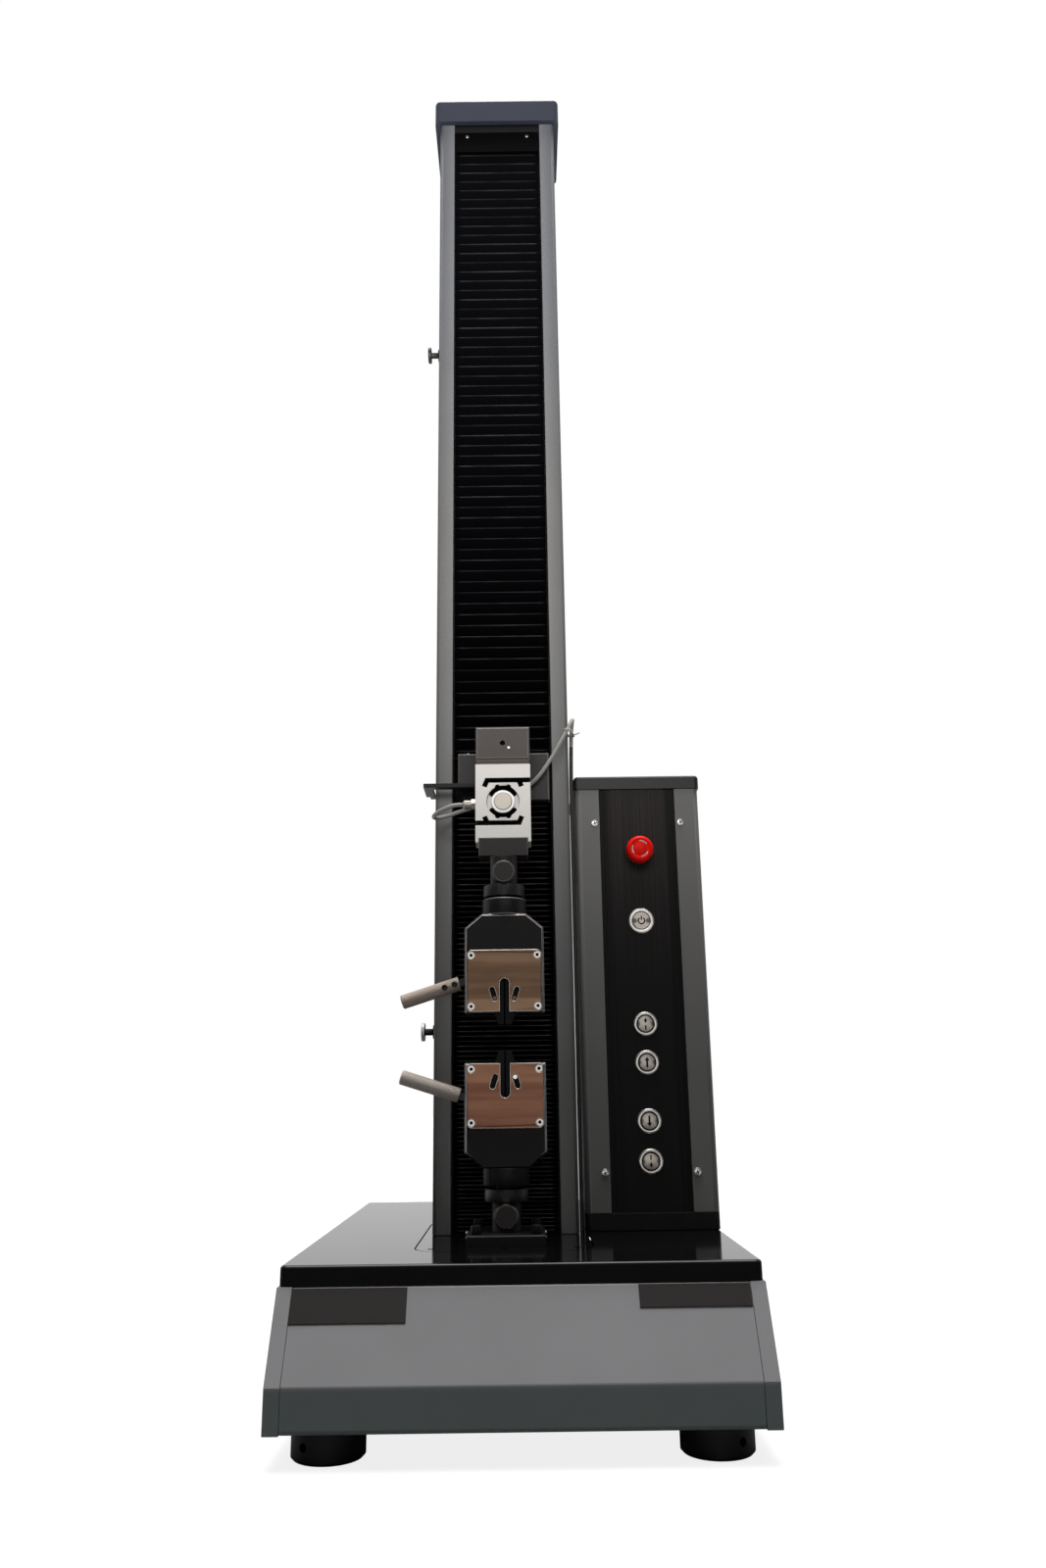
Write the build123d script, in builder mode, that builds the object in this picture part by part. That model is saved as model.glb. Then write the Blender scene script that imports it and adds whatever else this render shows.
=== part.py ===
from build123d import *
import math
import os

os.makedirs("parts", exist_ok=True)

# Single-column universal testing machine, in millimetres. The floor is z = 0, the front is -Y,
# and the origin is under the middle of the base.

# Clearances
seam = 0.3          # between neighbouring sheet pieces
fit = 0.3           # between pieces that turn or slide on each other

# Base
base_width = 403.0
base_depth = 584.0
deck = 143.0        # height of the cover's top over the floor
cover_inset = 1.5   # of the cover's sides from the base's
cover_lip = 16.0
cover_corner = 6.0
cover_edge = 3.0
sheet = 2.0
slope_run = 36.0    # how far the front panel leans out below the cover
bend_height = 59.5
bend_radius = 4.0
panel_bottom = 25.5
panel_tuck = 14.0   # folded edges of the front panel
cheek_flange = 13.0
cheek_edge = 1.0

# Frame inside the base, with the bed that shows through the cover
bed_width = 161.0
bed_setback = 72.0  # from the cover's front edge
bed_length = 236.0
bed_thickness = 20.0
bed_corner = 26.0
bed_gap = 1.5       # between the bed and the cover round it
bed_hole_radius = 3.3
bed_hole_pitch = 66.5
bed_hole_setback = 18.0
bed_cable_hole_radius = 3.0
beam_width = 44.0
beam_height = 40.0
beam_end_gap = 22.0
web_thickness = 12.0
web_inset = 8.0

# Levelling feet
foot_radius = 30.0
foot_side_inset = 45.5
foot_end_inset = 44.0
foot_edge = 2.0
stud_radius = 6.0
stud_length = 32.0
tommy_hole_radius = 3.5
tommy_hole_depth = 14.0
tommy_hole_angle = 33.0

# Rear panel
inlet_side_gap = 91.5
inlet_height = 50.0
inlet_width = 48.0
inlet_tall = 28.0
inlet_frame = 4.0
inlet_depth = 26.0
inlet_socket_width = 25.0
inlet_socket_tall = 17.0
inlet_socket_depth = 15.0
vent_count = 8
vent_pitch = 9.0
vent_length = 44.0
vent_width = 4.0
vent_x = 90.0

# Column
tower_gap = 7.0         # between the column's side and the tower's
column_width = 146.0
column_depth = 95.0
column_setback = 188.0  # from the cover's front edge
column_corner = 4.0
column_wall = 5.0
stile_width = 18.5
stile_sheet = 4.0
back_wall = 6.0
cap_height = 34.0
cap_overhang = 6.5
cap_corner = 7.0
cap_edge = 4.0
cap_pocket = 8.0
column_height = 1345.0  # from the deck to the cap

# Guides and drive
rail_width = 15.0
rail_depth = 12.0
rail_pitch = 90.0
rail_end_gap = 12.0
screw_radius = 8.0
screw_offset = 68.0     # from the column's front face
journal_radius = 6.0
top_block_height = 14.0
top_block_drop = 3.0
foot_bearing_radius = 20.0
foot_bearing_height = 15.0
coupling_radius = 12.0
coupling_length = 24.0
coupling_drop = 6.0
journal_below_bed = 55.0
lantern_width = 60.0
lantern_wall = 5.0
lantern_height = 36.0
motor_width = 70.0
motor_height = 52.0
motor_corner = 8.0

# Bellows
bellows_side_gap = 2.0
bellows_recess = 1.5
bellows_fold = 15.0
bellows_wall = 2.5
bellows_plate = 2.0
upper_pleat_count = 60
lower_pleat_count = 87

# Crosshead, at its stored height
crosshead_height = 466.0    # middle of the carriage over the deck
plate_width = 99.0
plate_height = 52.5
plate_thickness = 12.0
plate_edge = 1.0
plate_notch_width = 24.0
plate_notch_height = 15.5
neck_width = 88.0
neck_height = 44.0
saddle_width = 124.0
saddle_height = 76.0
saddle_thickness = 14.0
guide_width = 34.0
guide_overlap = 8.0     # how far a guide block reaches past the rail's front
nut_radius = 17.0
bellows_clearance = 2.5

# Trip arm and limit stops, on the column's left side
arm_height = 4.6
arm_thickness = 10.0
arm_drop = 11.7         # below the middle of the carriage
arm_reach = 86.0        # from the load axis to the arm's outer side
arm_inner = 22.0
arm_leg_width = 9.5
arm_leg_length = 52.0
arm_notch_width = 4.0
arm_notch_length = 10.0
stop_setback = 27.0     # from the column's front face
stop_slot_width = 8.0
stop_slot_low = 40.0
stop_slot_high = 1300.0
upper_stop_height = 1021.0
lower_stop_height = 198.0
stop_nut_width = 14.0
stop_nut_height = 20.0
stop_nut_thickness = 5.0
stop_flange_radius = 7.0
stop_flange_thickness = 2.2
knob_radius = 9.5
knob_thickness = 3.7
knob_gap = 8.5          # from the stop's flange to the knob
knob_shank_radius = 3.5
knob_spindle_radius = 2.5

# Load axis and load cell
axis_setback = 139.0    # from the cover's front edge
axis_shift = 1.7        # to the right of the column's middle
holder_width = 56.0
holder_height = 35.5
spacer_width = 54.4
spacer_height = 4.8
spacer_inset = 2.0
holder_front = 16.0     # in front of the load axis
holder_edge = 1.5
holder_hole_radius = 3.0
holder_hole_depth = 14.0
cell_width = 57.0
cell_drop = 0.8          # of the cell's top below the middle of the carriage
cell_height = 82.7
cell_depth = 30.0
cell_centre_drop = 40.0  # from the cell's top to the middle of its pattern
cell_slot = 5.0
cell_slot_height = 22.6
cell_slot_end = 16.4
cell_leg_x = 19.2
cell_leg_height = 15.9
cell_recess_radius = 16.9
cell_recess_depth = 3.0
cell_boss_radius = 12.0
cell_disc_radius = 8.9
cell_disc_height = 1.0
crescent_start = 37.0
crescent_width = 5.0
lobe_x = 5.7
lobe_height = 15.4
lobe_radius = 2.6
cell_notch_height = 4.3
gland_hex = 6.0
gland_hex_length = 4.6
gland_radius = 4.8
gland_length = 8.6
gland_rise = 0.6         # above the middle of the cell's pattern

# Grips, as heights from the middle of the gap between them
grip_height = 187.5     # of the gap's middle over the deck
jaw_tip = 12.7
grip_mouth = 24.0
grip_half_width = 39.1
grip_depth = 38.0
grip_edge = 1.5
shoulder_low = 106.8
shoulder_high = 121.0
shoulder_half_width = 22.2
neck_radius = 22.2
neck_top = 137.0
ring_low = 140.0
ring_high = 151.2
ring_radius = 21.0
ring_notch_width = 6.0
ring_notch_depth = 3.0
ring_notches = 4
tube_low = 151.5
tube_radius = 13.9
stem_radius = 10.0
stem_top = 176.0
pin_height = 164.0
pin_radius = 6.0
pin_head_radius = 11.8
pin_head_thickness = 5.5
pin_head_edge = 1.5
pin_tail = 17.0
socket_block_width = 50.0
socket_block_depth = 30.0
cover_low = 24.5
cover_high = 84.5
cover_half_width = 36.6
cover_thickness = 5.0
cover_corner_cut = 3.0
grip_screw_side_gap = 4.0
grip_screw_end_gap = 5.2
grip_screw_radius = 3.5
grip_screw_depth = 3.0
centre_slot_width = 9.2
centre_slot_top = 56.5
wedge_angle = 17.5
jaw_tip_half_width = 6.4
jaw_face_gap = 0.8
jaw_top = 60.0
jaw_back = 13.0
jaw_travel = 8.5
jaw_pin_x = 9.5
jaw_pin_height = 37.3
jaw_pin_radius = 2.2
jaw_slot_width = 5.2
lever_angle = 17.5
lever_pivot_x = -31.0
lever_pivot_height = 58.5
lever_pin_radius = 3.0
lever_boss_radius = 5.0
lever_thickness = 10.0
lever_arm_height = 7.0
lever_slot_height = 18.0
handle_start = 15.0
handle_length = 60.0
handle_radius = 7.0
handle_edge = 1.0
handle_hole_radius = 2.9
handle_hole_places = (4.8, 15.0)

# Lower socket
flange_width = 73.0
flange_thickness = 9.5
flange_edge = 1.5
flange_screw_spread = 56.0
flange_screw_radius = 4.8
flange_screw_height = 8.0
flange_screw_socket = 2.3
flange_screw_socket_depth = 4.0

# Control tower
tower_width = 135.5
tower_depth = 120.0
tower_setback = 206.0
tower_corner = 5.0
tower_sheet = 2.0
plinth_height = 17.0
tower_cap_height = 15.0
tower_cap_overhang = 1.5
tower_cap_edge = 4.0
panel_width = 83.0
panel_recess = 0.8
panel_face_depth = 1.4
panel_flange_width = 104.0
panel_flange_depth = 4.0
panel_groove_spreads = (62.0, 76.0)
panel_groove_width = 3.0
panel_groove_depth = 1.2

# Controls, spaced up the panel from the plinth to the panel's top
plinth_to_fast_down = 49.0
fast_down_to_down = 39.5
down_to_up = 58.5
up_to_fast_up = 39.3
fast_up_to_power = 108.4
power_to_stop = 75.3
stop_to_panel_top = 71.0
arrow_bezel_radius = 12.8
power_bezel_radius = 14.0
stop_collar_radius = 13.0
bezel_proud = 2.6
bezel_edge = 1.0
barrel_radius = 11.4
barrel_length = 16.0
button_bore_radius = 10.3
button_front = 2.0
button_back = 12.0
button_edge = 0.8
stop_stem_back = 14.0
stop_stem_front = 6.0
stop_spigot_radius = 5.0
stop_spigot_front = 12.0
stop_hub_radius = 8.0
stop_head_back = 9.0
stop_head_front = 22.0
stop_head_radius = 14.4
stop_head_edge = 3.5

# Load cell cable: points chosen by hand from the gland to the fold, and down behind the tower's edge
cable_radius = 2.2
cell_cable_route = [
    (-55.5, -117.0, 568.8), (-63.5, -117.0, 568.8), (-72.6, -117.0, 566.0), (-83.9, -112.3, 561.5),
    (-88.6, -101.0, 559.4), (-83.9, -89.7, 561.0), (-72.6, -85.0, 565.2), (-60.5, -84.6, 569.6),
    (-44.0, -85.6, 574.0), (-24.0, -87.4, 579.3), (-2.0, -89.0, 587.0), (20.0, -89.6, 600.0),
    (37.0, -87.0, 624.5), (51.5, -83.0, 651.5), (60.0, -78.5, 668.5), (63.0, -72.0, 676.0),
    (62.5, -63.0, 675.0), (61.5, -58.0, 664.0), (61.2, -55.0, 649.0),
]
cable_drop_route = [
    (61.19, -54.9, 648.5), (60.6, -49.0, 619.0), (60.8, -44.5, 575.0), (61.0, -41.5, 518.0),
    (61.0, -40.5, 458.0), (61.0, -42.0, 398.0), (61.0, -41.5, 338.0), (61.0, -39.5, 278.0),
    (61.0, -40.5, 218.0), (61.0, -40.0, 168.0), (61.0, -40.2, 130.0),
]

# Places worked out from the sizes above
cover_width = base_width - 2 * cover_inset
foot_x = base_width / 2 - foot_side_inset
front = -base_depth / 2
rear = base_depth / 2
cover_front = front + slope_run
cover_depth = rear - cover_front
cover_middle = (cover_front + rear) / 2
inlet_x = inlet_side_gap - base_width / 2
slope_top = deck - cover_lip - seam
bed_front = cover_front + bed_setback
bed_middle = bed_front + bed_length / 2
bed_bottom = deck - bed_thickness
column_front = cover_front + column_setback
column_rear = column_front + column_depth
column_middle = (column_front + column_rear) / 2
tower_right = base_width / 2 - tower_cap_overhang
tower_left = tower_right - tower_width
column_right = tower_left - tower_gap
column_x = column_right - column_width / 2
column_left = column_right - column_width
cap_bottom = deck + column_height
column_top = cap_bottom + cap_pocket
inner_front = column_front + stile_sheet
inner_rear = column_rear - back_wall
screw_y = column_front + screw_offset
rail_front = inner_rear - rail_depth
top_block_low = column_top - top_block_drop - top_block_height
axis_x = column_x + axis_shift
axis_y = cover_front + axis_setback
carriage_middle = deck + crosshead_height
plate_front = column_front - plate_thickness
cell_top = carriage_middle - cell_drop
cell_centre = cell_top - cell_centre_drop
cell_bottom = cell_top - cell_height
tower_middle = (tower_left + tower_right) / 2
tower_front = cover_front + tower_setback
tower_centre_y = tower_front + tower_depth / 2
tower_low = deck + plinth_height
fast_down_height = plinth_height + plinth_to_fast_down
down_height = fast_down_height + fast_down_to_down
up_height = down_height + down_to_up
fast_up_height = up_height + up_to_fast_up
power_button_height = fast_up_height + fast_up_to_power
stop_button_height = power_button_height + power_to_stop
tower_body_height = stop_button_height + stop_to_panel_top - plinth_height
tower_high = tower_low + tower_body_height
panel_face = tower_front + panel_recess
stop_y = column_front + stop_setback
wedge_slope = math.tan(math.radians(wedge_angle))
grip_screw_spread = 2 * (cover_half_width - grip_screw_side_gap)
grip_screw_pitch = cover_high - cover_low - 2 * grip_screw_end_gap

grip_gap_middle = deck + grip_height
load_axis = (axis_x, axis_y)
grip_plane = Plane(origin=(axis_x, axis_y, grip_gap_middle), x_dir=(1, 0, 0), z_dir=(0, -1, 0))
mirror_plane = Plane.XY.offset(grip_gap_middle)
button_plane = Plane(origin=(tower_middle, panel_face, deck), x_dir=(1, 0, 0), z_dir=(0, -1, 0))


def save(piece, name):
    """Label a finished piece and write it to its own file."""
    piece.part.label = name
    export_step(piece.part, f"parts/{name}.step")


def mirrored(piece):
    """The lower grip's twin of a piece of the upper grip."""
    with BuildPart() as twin:
        mirror(piece.part, about=mirror_plane)
    return twin


# Base cover: a folded black lid, open where the bed shows through
with BuildPart() as base_cover:
    with BuildSketch(Plane.XY.offset(deck - cover_lip)):
        with Locations((0, cover_middle)):
            RectangleRounded(cover_width, cover_depth, cover_corner)
    extrude(amount=cover_lip)
    fillet(base_cover.faces().sort_by(Axis.Z)[-1].edges(), cover_edge)
    with BuildSketch(Plane.XY.offset(deck - cover_lip)):
        with Locations((0, cover_middle)):
            RectangleRounded(cover_width - 2 * sheet, cover_depth - 2 * sheet, cover_corner - sheet)
    extrude(amount=cover_lip - sheet, mode=Mode.SUBTRACT)
    with BuildSketch(Plane.XY.offset(deck)):
        with Locations((column_x, bed_middle)):
            RectangleRounded(bed_width + 2 * bed_gap, bed_length + 2 * bed_gap, bed_corner + bed_gap)
    extrude(amount=-cover_lip, mode=Mode.SUBTRACT)
save(base_cover, "base_cover")

# Front panel: one bent sheet that leans out from the cover and drops to the bottom edge
front_panel_width = base_width - 2 * (cheek_flange + seam)
with BuildPart() as front_panel:
    with BuildSketch(Plane.YZ.offset(-front_panel_width / 2)):
        with BuildLine():
            FilletPolyline(
                (cover_front + panel_tuck, slope_top),
                (cover_front, slope_top),
                (front, bend_height),
                (front, panel_bottom),
                (front + panel_tuck, panel_bottom),
                radius=bend_radius,
            )
            offset(amount=sheet, side=Side.LEFT)
        make_face()
    extrude(amount=front_panel_width)
save(front_panel, "front_panel")


cheek_outline = [
    (front, panel_bottom),
    (front, bend_height),
    (cover_front, slope_top),
    (rear, slope_top),
    (rear, panel_bottom),
]


def make_cheek(side):
    """A side of the base, folded in along its whole outline; side is -1 for left, 1 for right."""
    with BuildPart() as cheek:
        with BuildSketch(Plane.YZ.offset(side * base_width / 2)):
            with BuildLine():
                Polyline(*cheek_outline, close=True)
            make_face()
        extrude(amount=-side * cheek_flange)
        outer_face = cheek.faces().sort_by(Axis((0, 0, 0), (side, 0, 0)))[-1]
        fillet(outer_face.edges(), cheek_edge)
        with BuildSketch(Plane.YZ.offset(side * (base_width / 2 - sheet))):
            with BuildLine():
                Polyline(*cheek_outline, close=True)
            make_face()
            offset(amount=-sheet, mode=Mode.REPLACE)
        extrude(amount=-side * cheek_flange, mode=Mode.SUBTRACT)
    return cheek


save(make_cheek(-1), "left_cheek")
save(make_cheek(1), "right_cheek")

# Rear panel with the mains inlet and a row of vents
rear_panel_plane = Plane(origin=(0, rear, panel_bottom), x_dir=(1, 0, 0), z_dir=(0, -1, 0))
with BuildPart() as rear_panel:
    with BuildSketch(rear_panel_plane):
        with Locations((0, (slope_top - panel_bottom) / 2)):
            Rectangle(front_panel_width, slope_top - panel_bottom)
        with Locations((inlet_x, inlet_height)):
            Rectangle(inlet_width, inlet_tall, mode=Mode.SUBTRACT)
        with Locations((vent_x, inlet_height)):
            with GridLocations(vent_pitch, 0, vent_count, 1):
                SlotOverall(vent_length, vent_width, rotation=90, mode=Mode.SUBTRACT)
    extrude(amount=sheet)
save(rear_panel, "rear_panel")

with BuildPart() as mains_inlet:
    with BuildSketch(rear_panel_plane):
        with Locations((inlet_x, inlet_height)):
            Rectangle(inlet_width - 2 * seam, inlet_tall - 2 * seam)
    extrude(amount=inlet_depth)
    with BuildSketch(rear_panel_plane.offset(sheet + seam)):
        with Locations((inlet_x, inlet_height)):
            Rectangle(inlet_width + 2 * inlet_frame, inlet_tall + 2 * inlet_frame)
    extrude(amount=sheet)
    with BuildSketch(rear_panel_plane):
        with Locations((inlet_x, inlet_height)):
            RectangleRounded(inlet_socket_width, inlet_socket_tall, inlet_frame)
    extrude(amount=inlet_socket_depth, mode=Mode.SUBTRACT)
save(mains_inlet, "mains_inlet")

# Base frame: the bed on two webs, welded to a beam along each side
beam_length = base_depth - 2 * beam_end_gap
with BuildPart() as base_frame:
    with BuildSketch(Plane.XY.offset(panel_bottom)):
        with GridLocations(2 * foot_x, 0, 2, 1):
            Rectangle(beam_width, beam_length)
    extrude(amount=beam_height)
    with BuildSketch(Plane.XY.offset(panel_bottom)):
        with Locations((0, bed_middle)):
            with GridLocations(0, bed_length - 2 * web_inset, 1, 2):
                Rectangle(2 * foot_x, web_thickness)
    extrude(amount=bed_bottom - panel_bottom)
    with BuildSketch(Plane.XY.offset(bed_bottom)):
        with Locations((column_x, bed_middle)):
            RectangleRounded(bed_width, bed_length, bed_corner)
        with Locations((column_x, bed_front + bed_hole_setback)):
            with GridLocations(bed_hole_pitch, 0, 3, 1):
                Circle(bed_hole_radius, mode=Mode.SUBTRACT)
        with Locations((column_x, screw_y)):
            Circle(journal_radius + fit, mode=Mode.SUBTRACT)
        with Locations(cable_drop_route[-1][:2]):
            Circle(bed_cable_hole_radius, mode=Mode.SUBTRACT)
    extrude(amount=bed_thickness)
    with BuildSketch(Plane.XY.offset(panel_bottom)):
        with GridLocations(2 * foot_x, base_depth - 2 * foot_end_inset, 2, 2):
            Circle(stud_radius + fit)
    extrude(amount=beam_height, mode=Mode.SUBTRACT)
save(base_frame, "base_frame")


def make_foot(side, end):
    """A levelling foot with its stud and tommy-bar holes; side is left or right, end front or rear."""
    centre = (side * foot_x, end * (base_depth / 2 - foot_end_inset))
    with BuildPart() as foot:
        with BuildSketch():
            with Locations(centre):
                Circle(foot_radius)
        extrude(amount=panel_bottom - fit)
        chamfer(foot.edges().filter_by(GeomType.CIRCLE), foot_edge)
        with BuildSketch(Plane.XY.offset(panel_bottom - fit)):
            with Locations(centre):
                Circle(stud_radius)
        extrude(amount=stud_length)
        for turn in (0, 120, 240):
            heading = math.radians(turn + side * tommy_hole_angle)
            outward = Vector(math.sin(heading), -math.cos(heading), 0)
            rim = Vector(*centre, panel_bottom / 2) + outward * foot_radius
            with BuildSketch(Plane(origin=rim, z_dir=outward)):
                Circle(tommy_hole_radius)
            extrude(amount=-tommy_hole_depth, mode=Mode.SUBTRACT)
    return foot


for end_name, end in (("front", -1), ("rear", 1)):
    for side_name, side in (("left", -1), ("right", 1)):
        save(make_foot(side, end), f"{end_name}_{side_name}_foot")

# Column: an extrusion with two front stiles, open between them and slotted on the left for the stops
with BuildPart() as column_shell:
    with BuildSketch(Plane.XY.offset(deck)):
        with Locations((column_x, column_middle)):
            RectangleRounded(column_width, column_depth, column_corner)
        with Locations((column_x, (inner_front + inner_rear) / 2)):
            Rectangle(column_width - 2 * column_wall, inner_rear - inner_front, mode=Mode.SUBTRACT)
        with Locations((column_x, column_front)):
            Rectangle(column_width - 2 * stile_width, 2 * stile_sheet, mode=Mode.SUBTRACT)
    extrude(amount=column_top - deck)
    with BuildSketch(Plane.YZ.offset(column_left)):
        with Locations((stop_y, deck + (stop_slot_low + stop_slot_high) / 2)):
            SlotOverall(stop_slot_high - stop_slot_low, stop_slot_width, rotation=90)
    extrude(amount=column_wall, mode=Mode.SUBTRACT)
save(column_shell, "column_shell")

with BuildPart() as column_cap:
    with BuildSketch(Plane.XY.offset(cap_bottom)):
        with Locations((column_x, column_middle)):
            RectangleRounded(column_width + 2 * cap_overhang, column_depth + 2 * cap_overhang, cap_corner)
    extrude(amount=cap_height)
    fillet(column_cap.faces().sort_by(Axis.Z)[-1].edges(), cap_edge)
    with BuildSketch(Plane.XY.offset(cap_bottom)):
        with Locations((column_x, column_middle)):
            Rectangle(column_width + 2 * seam, column_depth + 2 * seam)
    extrude(amount=cap_pocket, mode=Mode.SUBTRACT)
save(column_cap, "column_cap")

with BuildPart() as guide_rails:
    with BuildSketch(Plane.XY.offset(deck)):
        with Locations((column_x, inner_rear - rail_depth / 2)):
            with GridLocations(rail_pitch, 0, 2, 1):
                Rectangle(rail_width, rail_depth)
    extrude(amount=top_block_low - deck - rail_end_gap)
save(guide_rails, "guide_rails")

# Bearings that carry the ball screw: a block across the column's top and a round unit on the bed
with BuildPart() as screw_bearings:
    with BuildSketch(Plane.XY.offset(top_block_low)):
        with Locations((column_x, (inner_front + inner_rear) / 2)):
            Rectangle(column_width - 2 * column_wall - 2 * seam, inner_rear - inner_front - 2 * seam)
    extrude(amount=top_block_height)
    with BuildSketch(Plane.XY.offset(deck)):
        with Locations((column_x, screw_y)):
            Circle(foot_bearing_radius)
    extrude(amount=foot_bearing_height)
    with BuildSketch(Plane.XY.offset(deck)):
        with Locations((column_x, screw_y)):
            Circle(journal_radius + fit)
    extrude(amount=column_top - deck, mode=Mode.SUBTRACT)
save(screw_bearings, "screw_bearings")

with BuildPart() as ball_screw:
    with BuildSketch(Plane.XY.offset(bed_bottom - journal_below_bed)):
        with Locations((column_x, screw_y)):
            Circle(journal_radius)
    extrude(amount=top_block_low + top_block_height - bed_bottom + journal_below_bed)
    with BuildSketch(Plane.XY.offset(deck + foot_bearing_height + fit)):
        with Locations((column_x, screw_y)):
            Circle(screw_radius)
    extrude(amount=top_block_low - deck - foot_bearing_height - 2 * fit)
    with BuildSketch(Plane.XY.offset(bed_bottom - coupling_drop - coupling_length)):
        with Locations((column_x, screw_y)):
            Circle(coupling_radius)
    extrude(amount=coupling_length)
save(ball_screw, "ball_screw")

# Drive motor, hung from the bed by a square lantern round the coupling
with BuildPart() as drive_motor:
    with BuildSketch(Plane.XY.offset(bed_bottom - lantern_height)):
        with Locations((column_x, screw_y)):
            Rectangle(lantern_width, lantern_width)
            Rectangle(lantern_width - 2 * lantern_wall, lantern_width - 2 * lantern_wall, mode=Mode.SUBTRACT)
    extrude(amount=lantern_height)
    with BuildSketch(Plane.XY.offset(bed_bottom - lantern_height - motor_height)):
        with Locations((column_x, screw_y)):
            RectangleRounded(motor_width, motor_width, motor_corner)
    extrude(amount=motor_height)
    with BuildSketch(Plane.XY.offset(bed_bottom - lantern_height)):
        with Locations((column_x, screw_y)):
            Circle(journal_radius + fit)
    extrude(amount=-motor_height / 2, mode=Mode.SUBTRACT)
save(drive_motor, "drive_motor")

# Bellows: pleated blinds that close the column's front above and below the crosshead
bellows_width = column_width - 2 * stile_width - 2 * bellows_side_gap
bellows_front = column_front + bellows_recess


def make_bellows(low, high, pleats):
    """A pleated sheet between two end plates, from height low to height high."""
    pitch = (high - low - 2 * bellows_plate) / pleats
    front_line = []
    for crease in range(2 * pleats + 1):
        inset = 0 if crease % 2 else bellows_fold
        front_line.append((bellows_front + inset, low + bellows_plate + crease * pitch / 2))
    back_line = [(y + bellows_wall, z) for y, z in reversed(front_line)]
    with BuildPart() as bellows:
        with BuildSketch(Plane.YZ.offset(column_x - bellows_width / 2)):
            with BuildLine():
                Polyline(*front_line, *back_line, close=True)
            make_face()
        extrude(amount=bellows_width)
        plate_depth = bellows_fold + bellows_wall
        for base in (low, high - bellows_plate):
            with BuildSketch(Plane.XY.offset(base)):
                with Locations((column_x, bellows_front + plate_depth / 2)):
                    Rectangle(bellows_width, plate_depth)
            extrude(amount=bellows_plate)
    return bellows


bellows_gap = neck_height / 2 + bellows_clearance
save(make_bellows(carriage_middle + bellows_gap, top_block_low, upper_pleat_count), "bellows_upper")
save(make_bellows(deck, carriage_middle - bellows_gap, lower_pleat_count), "bellows_lower")

# Carriage: a saddle with two guide blocks round the rails, the ball nut, and a neck between the bellows
saddle_low = carriage_middle - saddle_height / 2
guide_front = rail_front - fit - saddle_thickness
saddle_front = guide_front - saddle_thickness
guide_back = rail_front + guide_overlap
with BuildPart() as carriage:
    with BuildSketch(Plane.XY.offset(saddle_low)):
        with Locations((column_x, saddle_front + saddle_thickness / 2)):
            Rectangle(saddle_width, saddle_thickness)
        with Locations((column_x, (guide_front + guide_back) / 2)):
            with GridLocations(rail_pitch, 0, 2, 1):
                Rectangle(guide_width, guide_back - guide_front)
        with Locations((column_x, rail_front + rail_depth / 2)):
            with GridLocations(rail_pitch, 0, 2, 1):
                Rectangle(rail_width + 2 * fit, rail_depth + 2 * fit, mode=Mode.SUBTRACT)
        with Locations((column_x, screw_y)):
            Circle(nut_radius)
            Circle(screw_radius + fit, mode=Mode.SUBTRACT)
    extrude(amount=saddle_height)
    with BuildSketch(Plane.XZ.offset(-saddle_front)):
        with Locations((column_x, carriage_middle)):
            Rectangle(neck_width, neck_height)
    extrude(amount=saddle_front - column_front)
save(carriage, "carriage")

# Carriage plate in front of the stiles, notched below on the left
plate_low = carriage_middle - plate_height / 2
with BuildPart() as carriage_plate:
    with BuildSketch(Plane.XZ.offset(-column_front)):
        with Locations((axis_x, carriage_middle)):
            Rectangle(plate_width, plate_height)
        with Locations((axis_x - plate_width / 2, plate_low)):
            Rectangle(2 * plate_notch_width, 2 * plate_notch_height, mode=Mode.SUBTRACT)
    extrude(amount=plate_thickness)
    chamfer(carriage_plate.faces().sort_by(Axis.Y)[0].edges(), plate_edge)
save(carriage_plate, "carriage_plate")

# Trip arm: a bar across the left stile, then back along the column's side over the limit stops
arm_middle = carriage_middle - arm_drop
arm_outer_x = axis_x - arm_reach
arm_front = plate_front - arm_thickness
with BuildPart() as trip_arm:
    with BuildSketch(Plane.XY.offset(arm_middle - arm_height / 2)):
        with BuildLine():
            Polyline(
                (axis_x - arm_inner, plate_front),
                (axis_x - arm_inner, arm_front),
                (arm_outer_x, arm_front),
                (arm_outer_x, arm_front + arm_leg_length - arm_notch_length),
                (arm_outer_x + arm_notch_width, arm_front + arm_leg_length - arm_notch_length),
                (arm_outer_x + arm_notch_width, arm_front + arm_leg_length),
                (arm_outer_x + arm_leg_width, arm_front + arm_leg_length),
                (arm_outer_x + arm_leg_width, plate_front),
                close=True,
            )
        make_face()
    extrude(amount=arm_height)
save(trip_arm, "trip_arm")


def make_limit_stop(height):
    """A limit stop that slides in the column's side slot, with a bore for its knob."""
    with BuildPart() as stop:
        with BuildSketch(Plane.YZ.offset(column_left + column_wall + fit)):
            with Locations((stop_y, deck + height)):
                Rectangle(stop_nut_width, stop_nut_height)
        extrude(amount=stop_nut_thickness)
        with BuildSketch(Plane.YZ.offset(column_left + column_wall + fit)):
            with Locations((stop_y, deck + height)):
                Circle(stop_slot_width / 2 - fit)
        extrude(amount=-column_wall - 2 * fit)
        with BuildSketch(Plane.YZ.offset(column_left - fit)):
            with Locations((stop_y, deck + height)):
                Circle(stop_flange_radius)
        extrude(amount=-stop_flange_thickness)
        with BuildSketch(Plane.YZ.offset(column_left - fit - stop_flange_thickness)):
            with Locations((stop_y, deck + height)):
                Circle(knob_spindle_radius + fit)
        extrude(amount=column_wall + 2 * fit + stop_flange_thickness + stop_nut_thickness, mode=Mode.SUBTRACT)
    return stop


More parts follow.
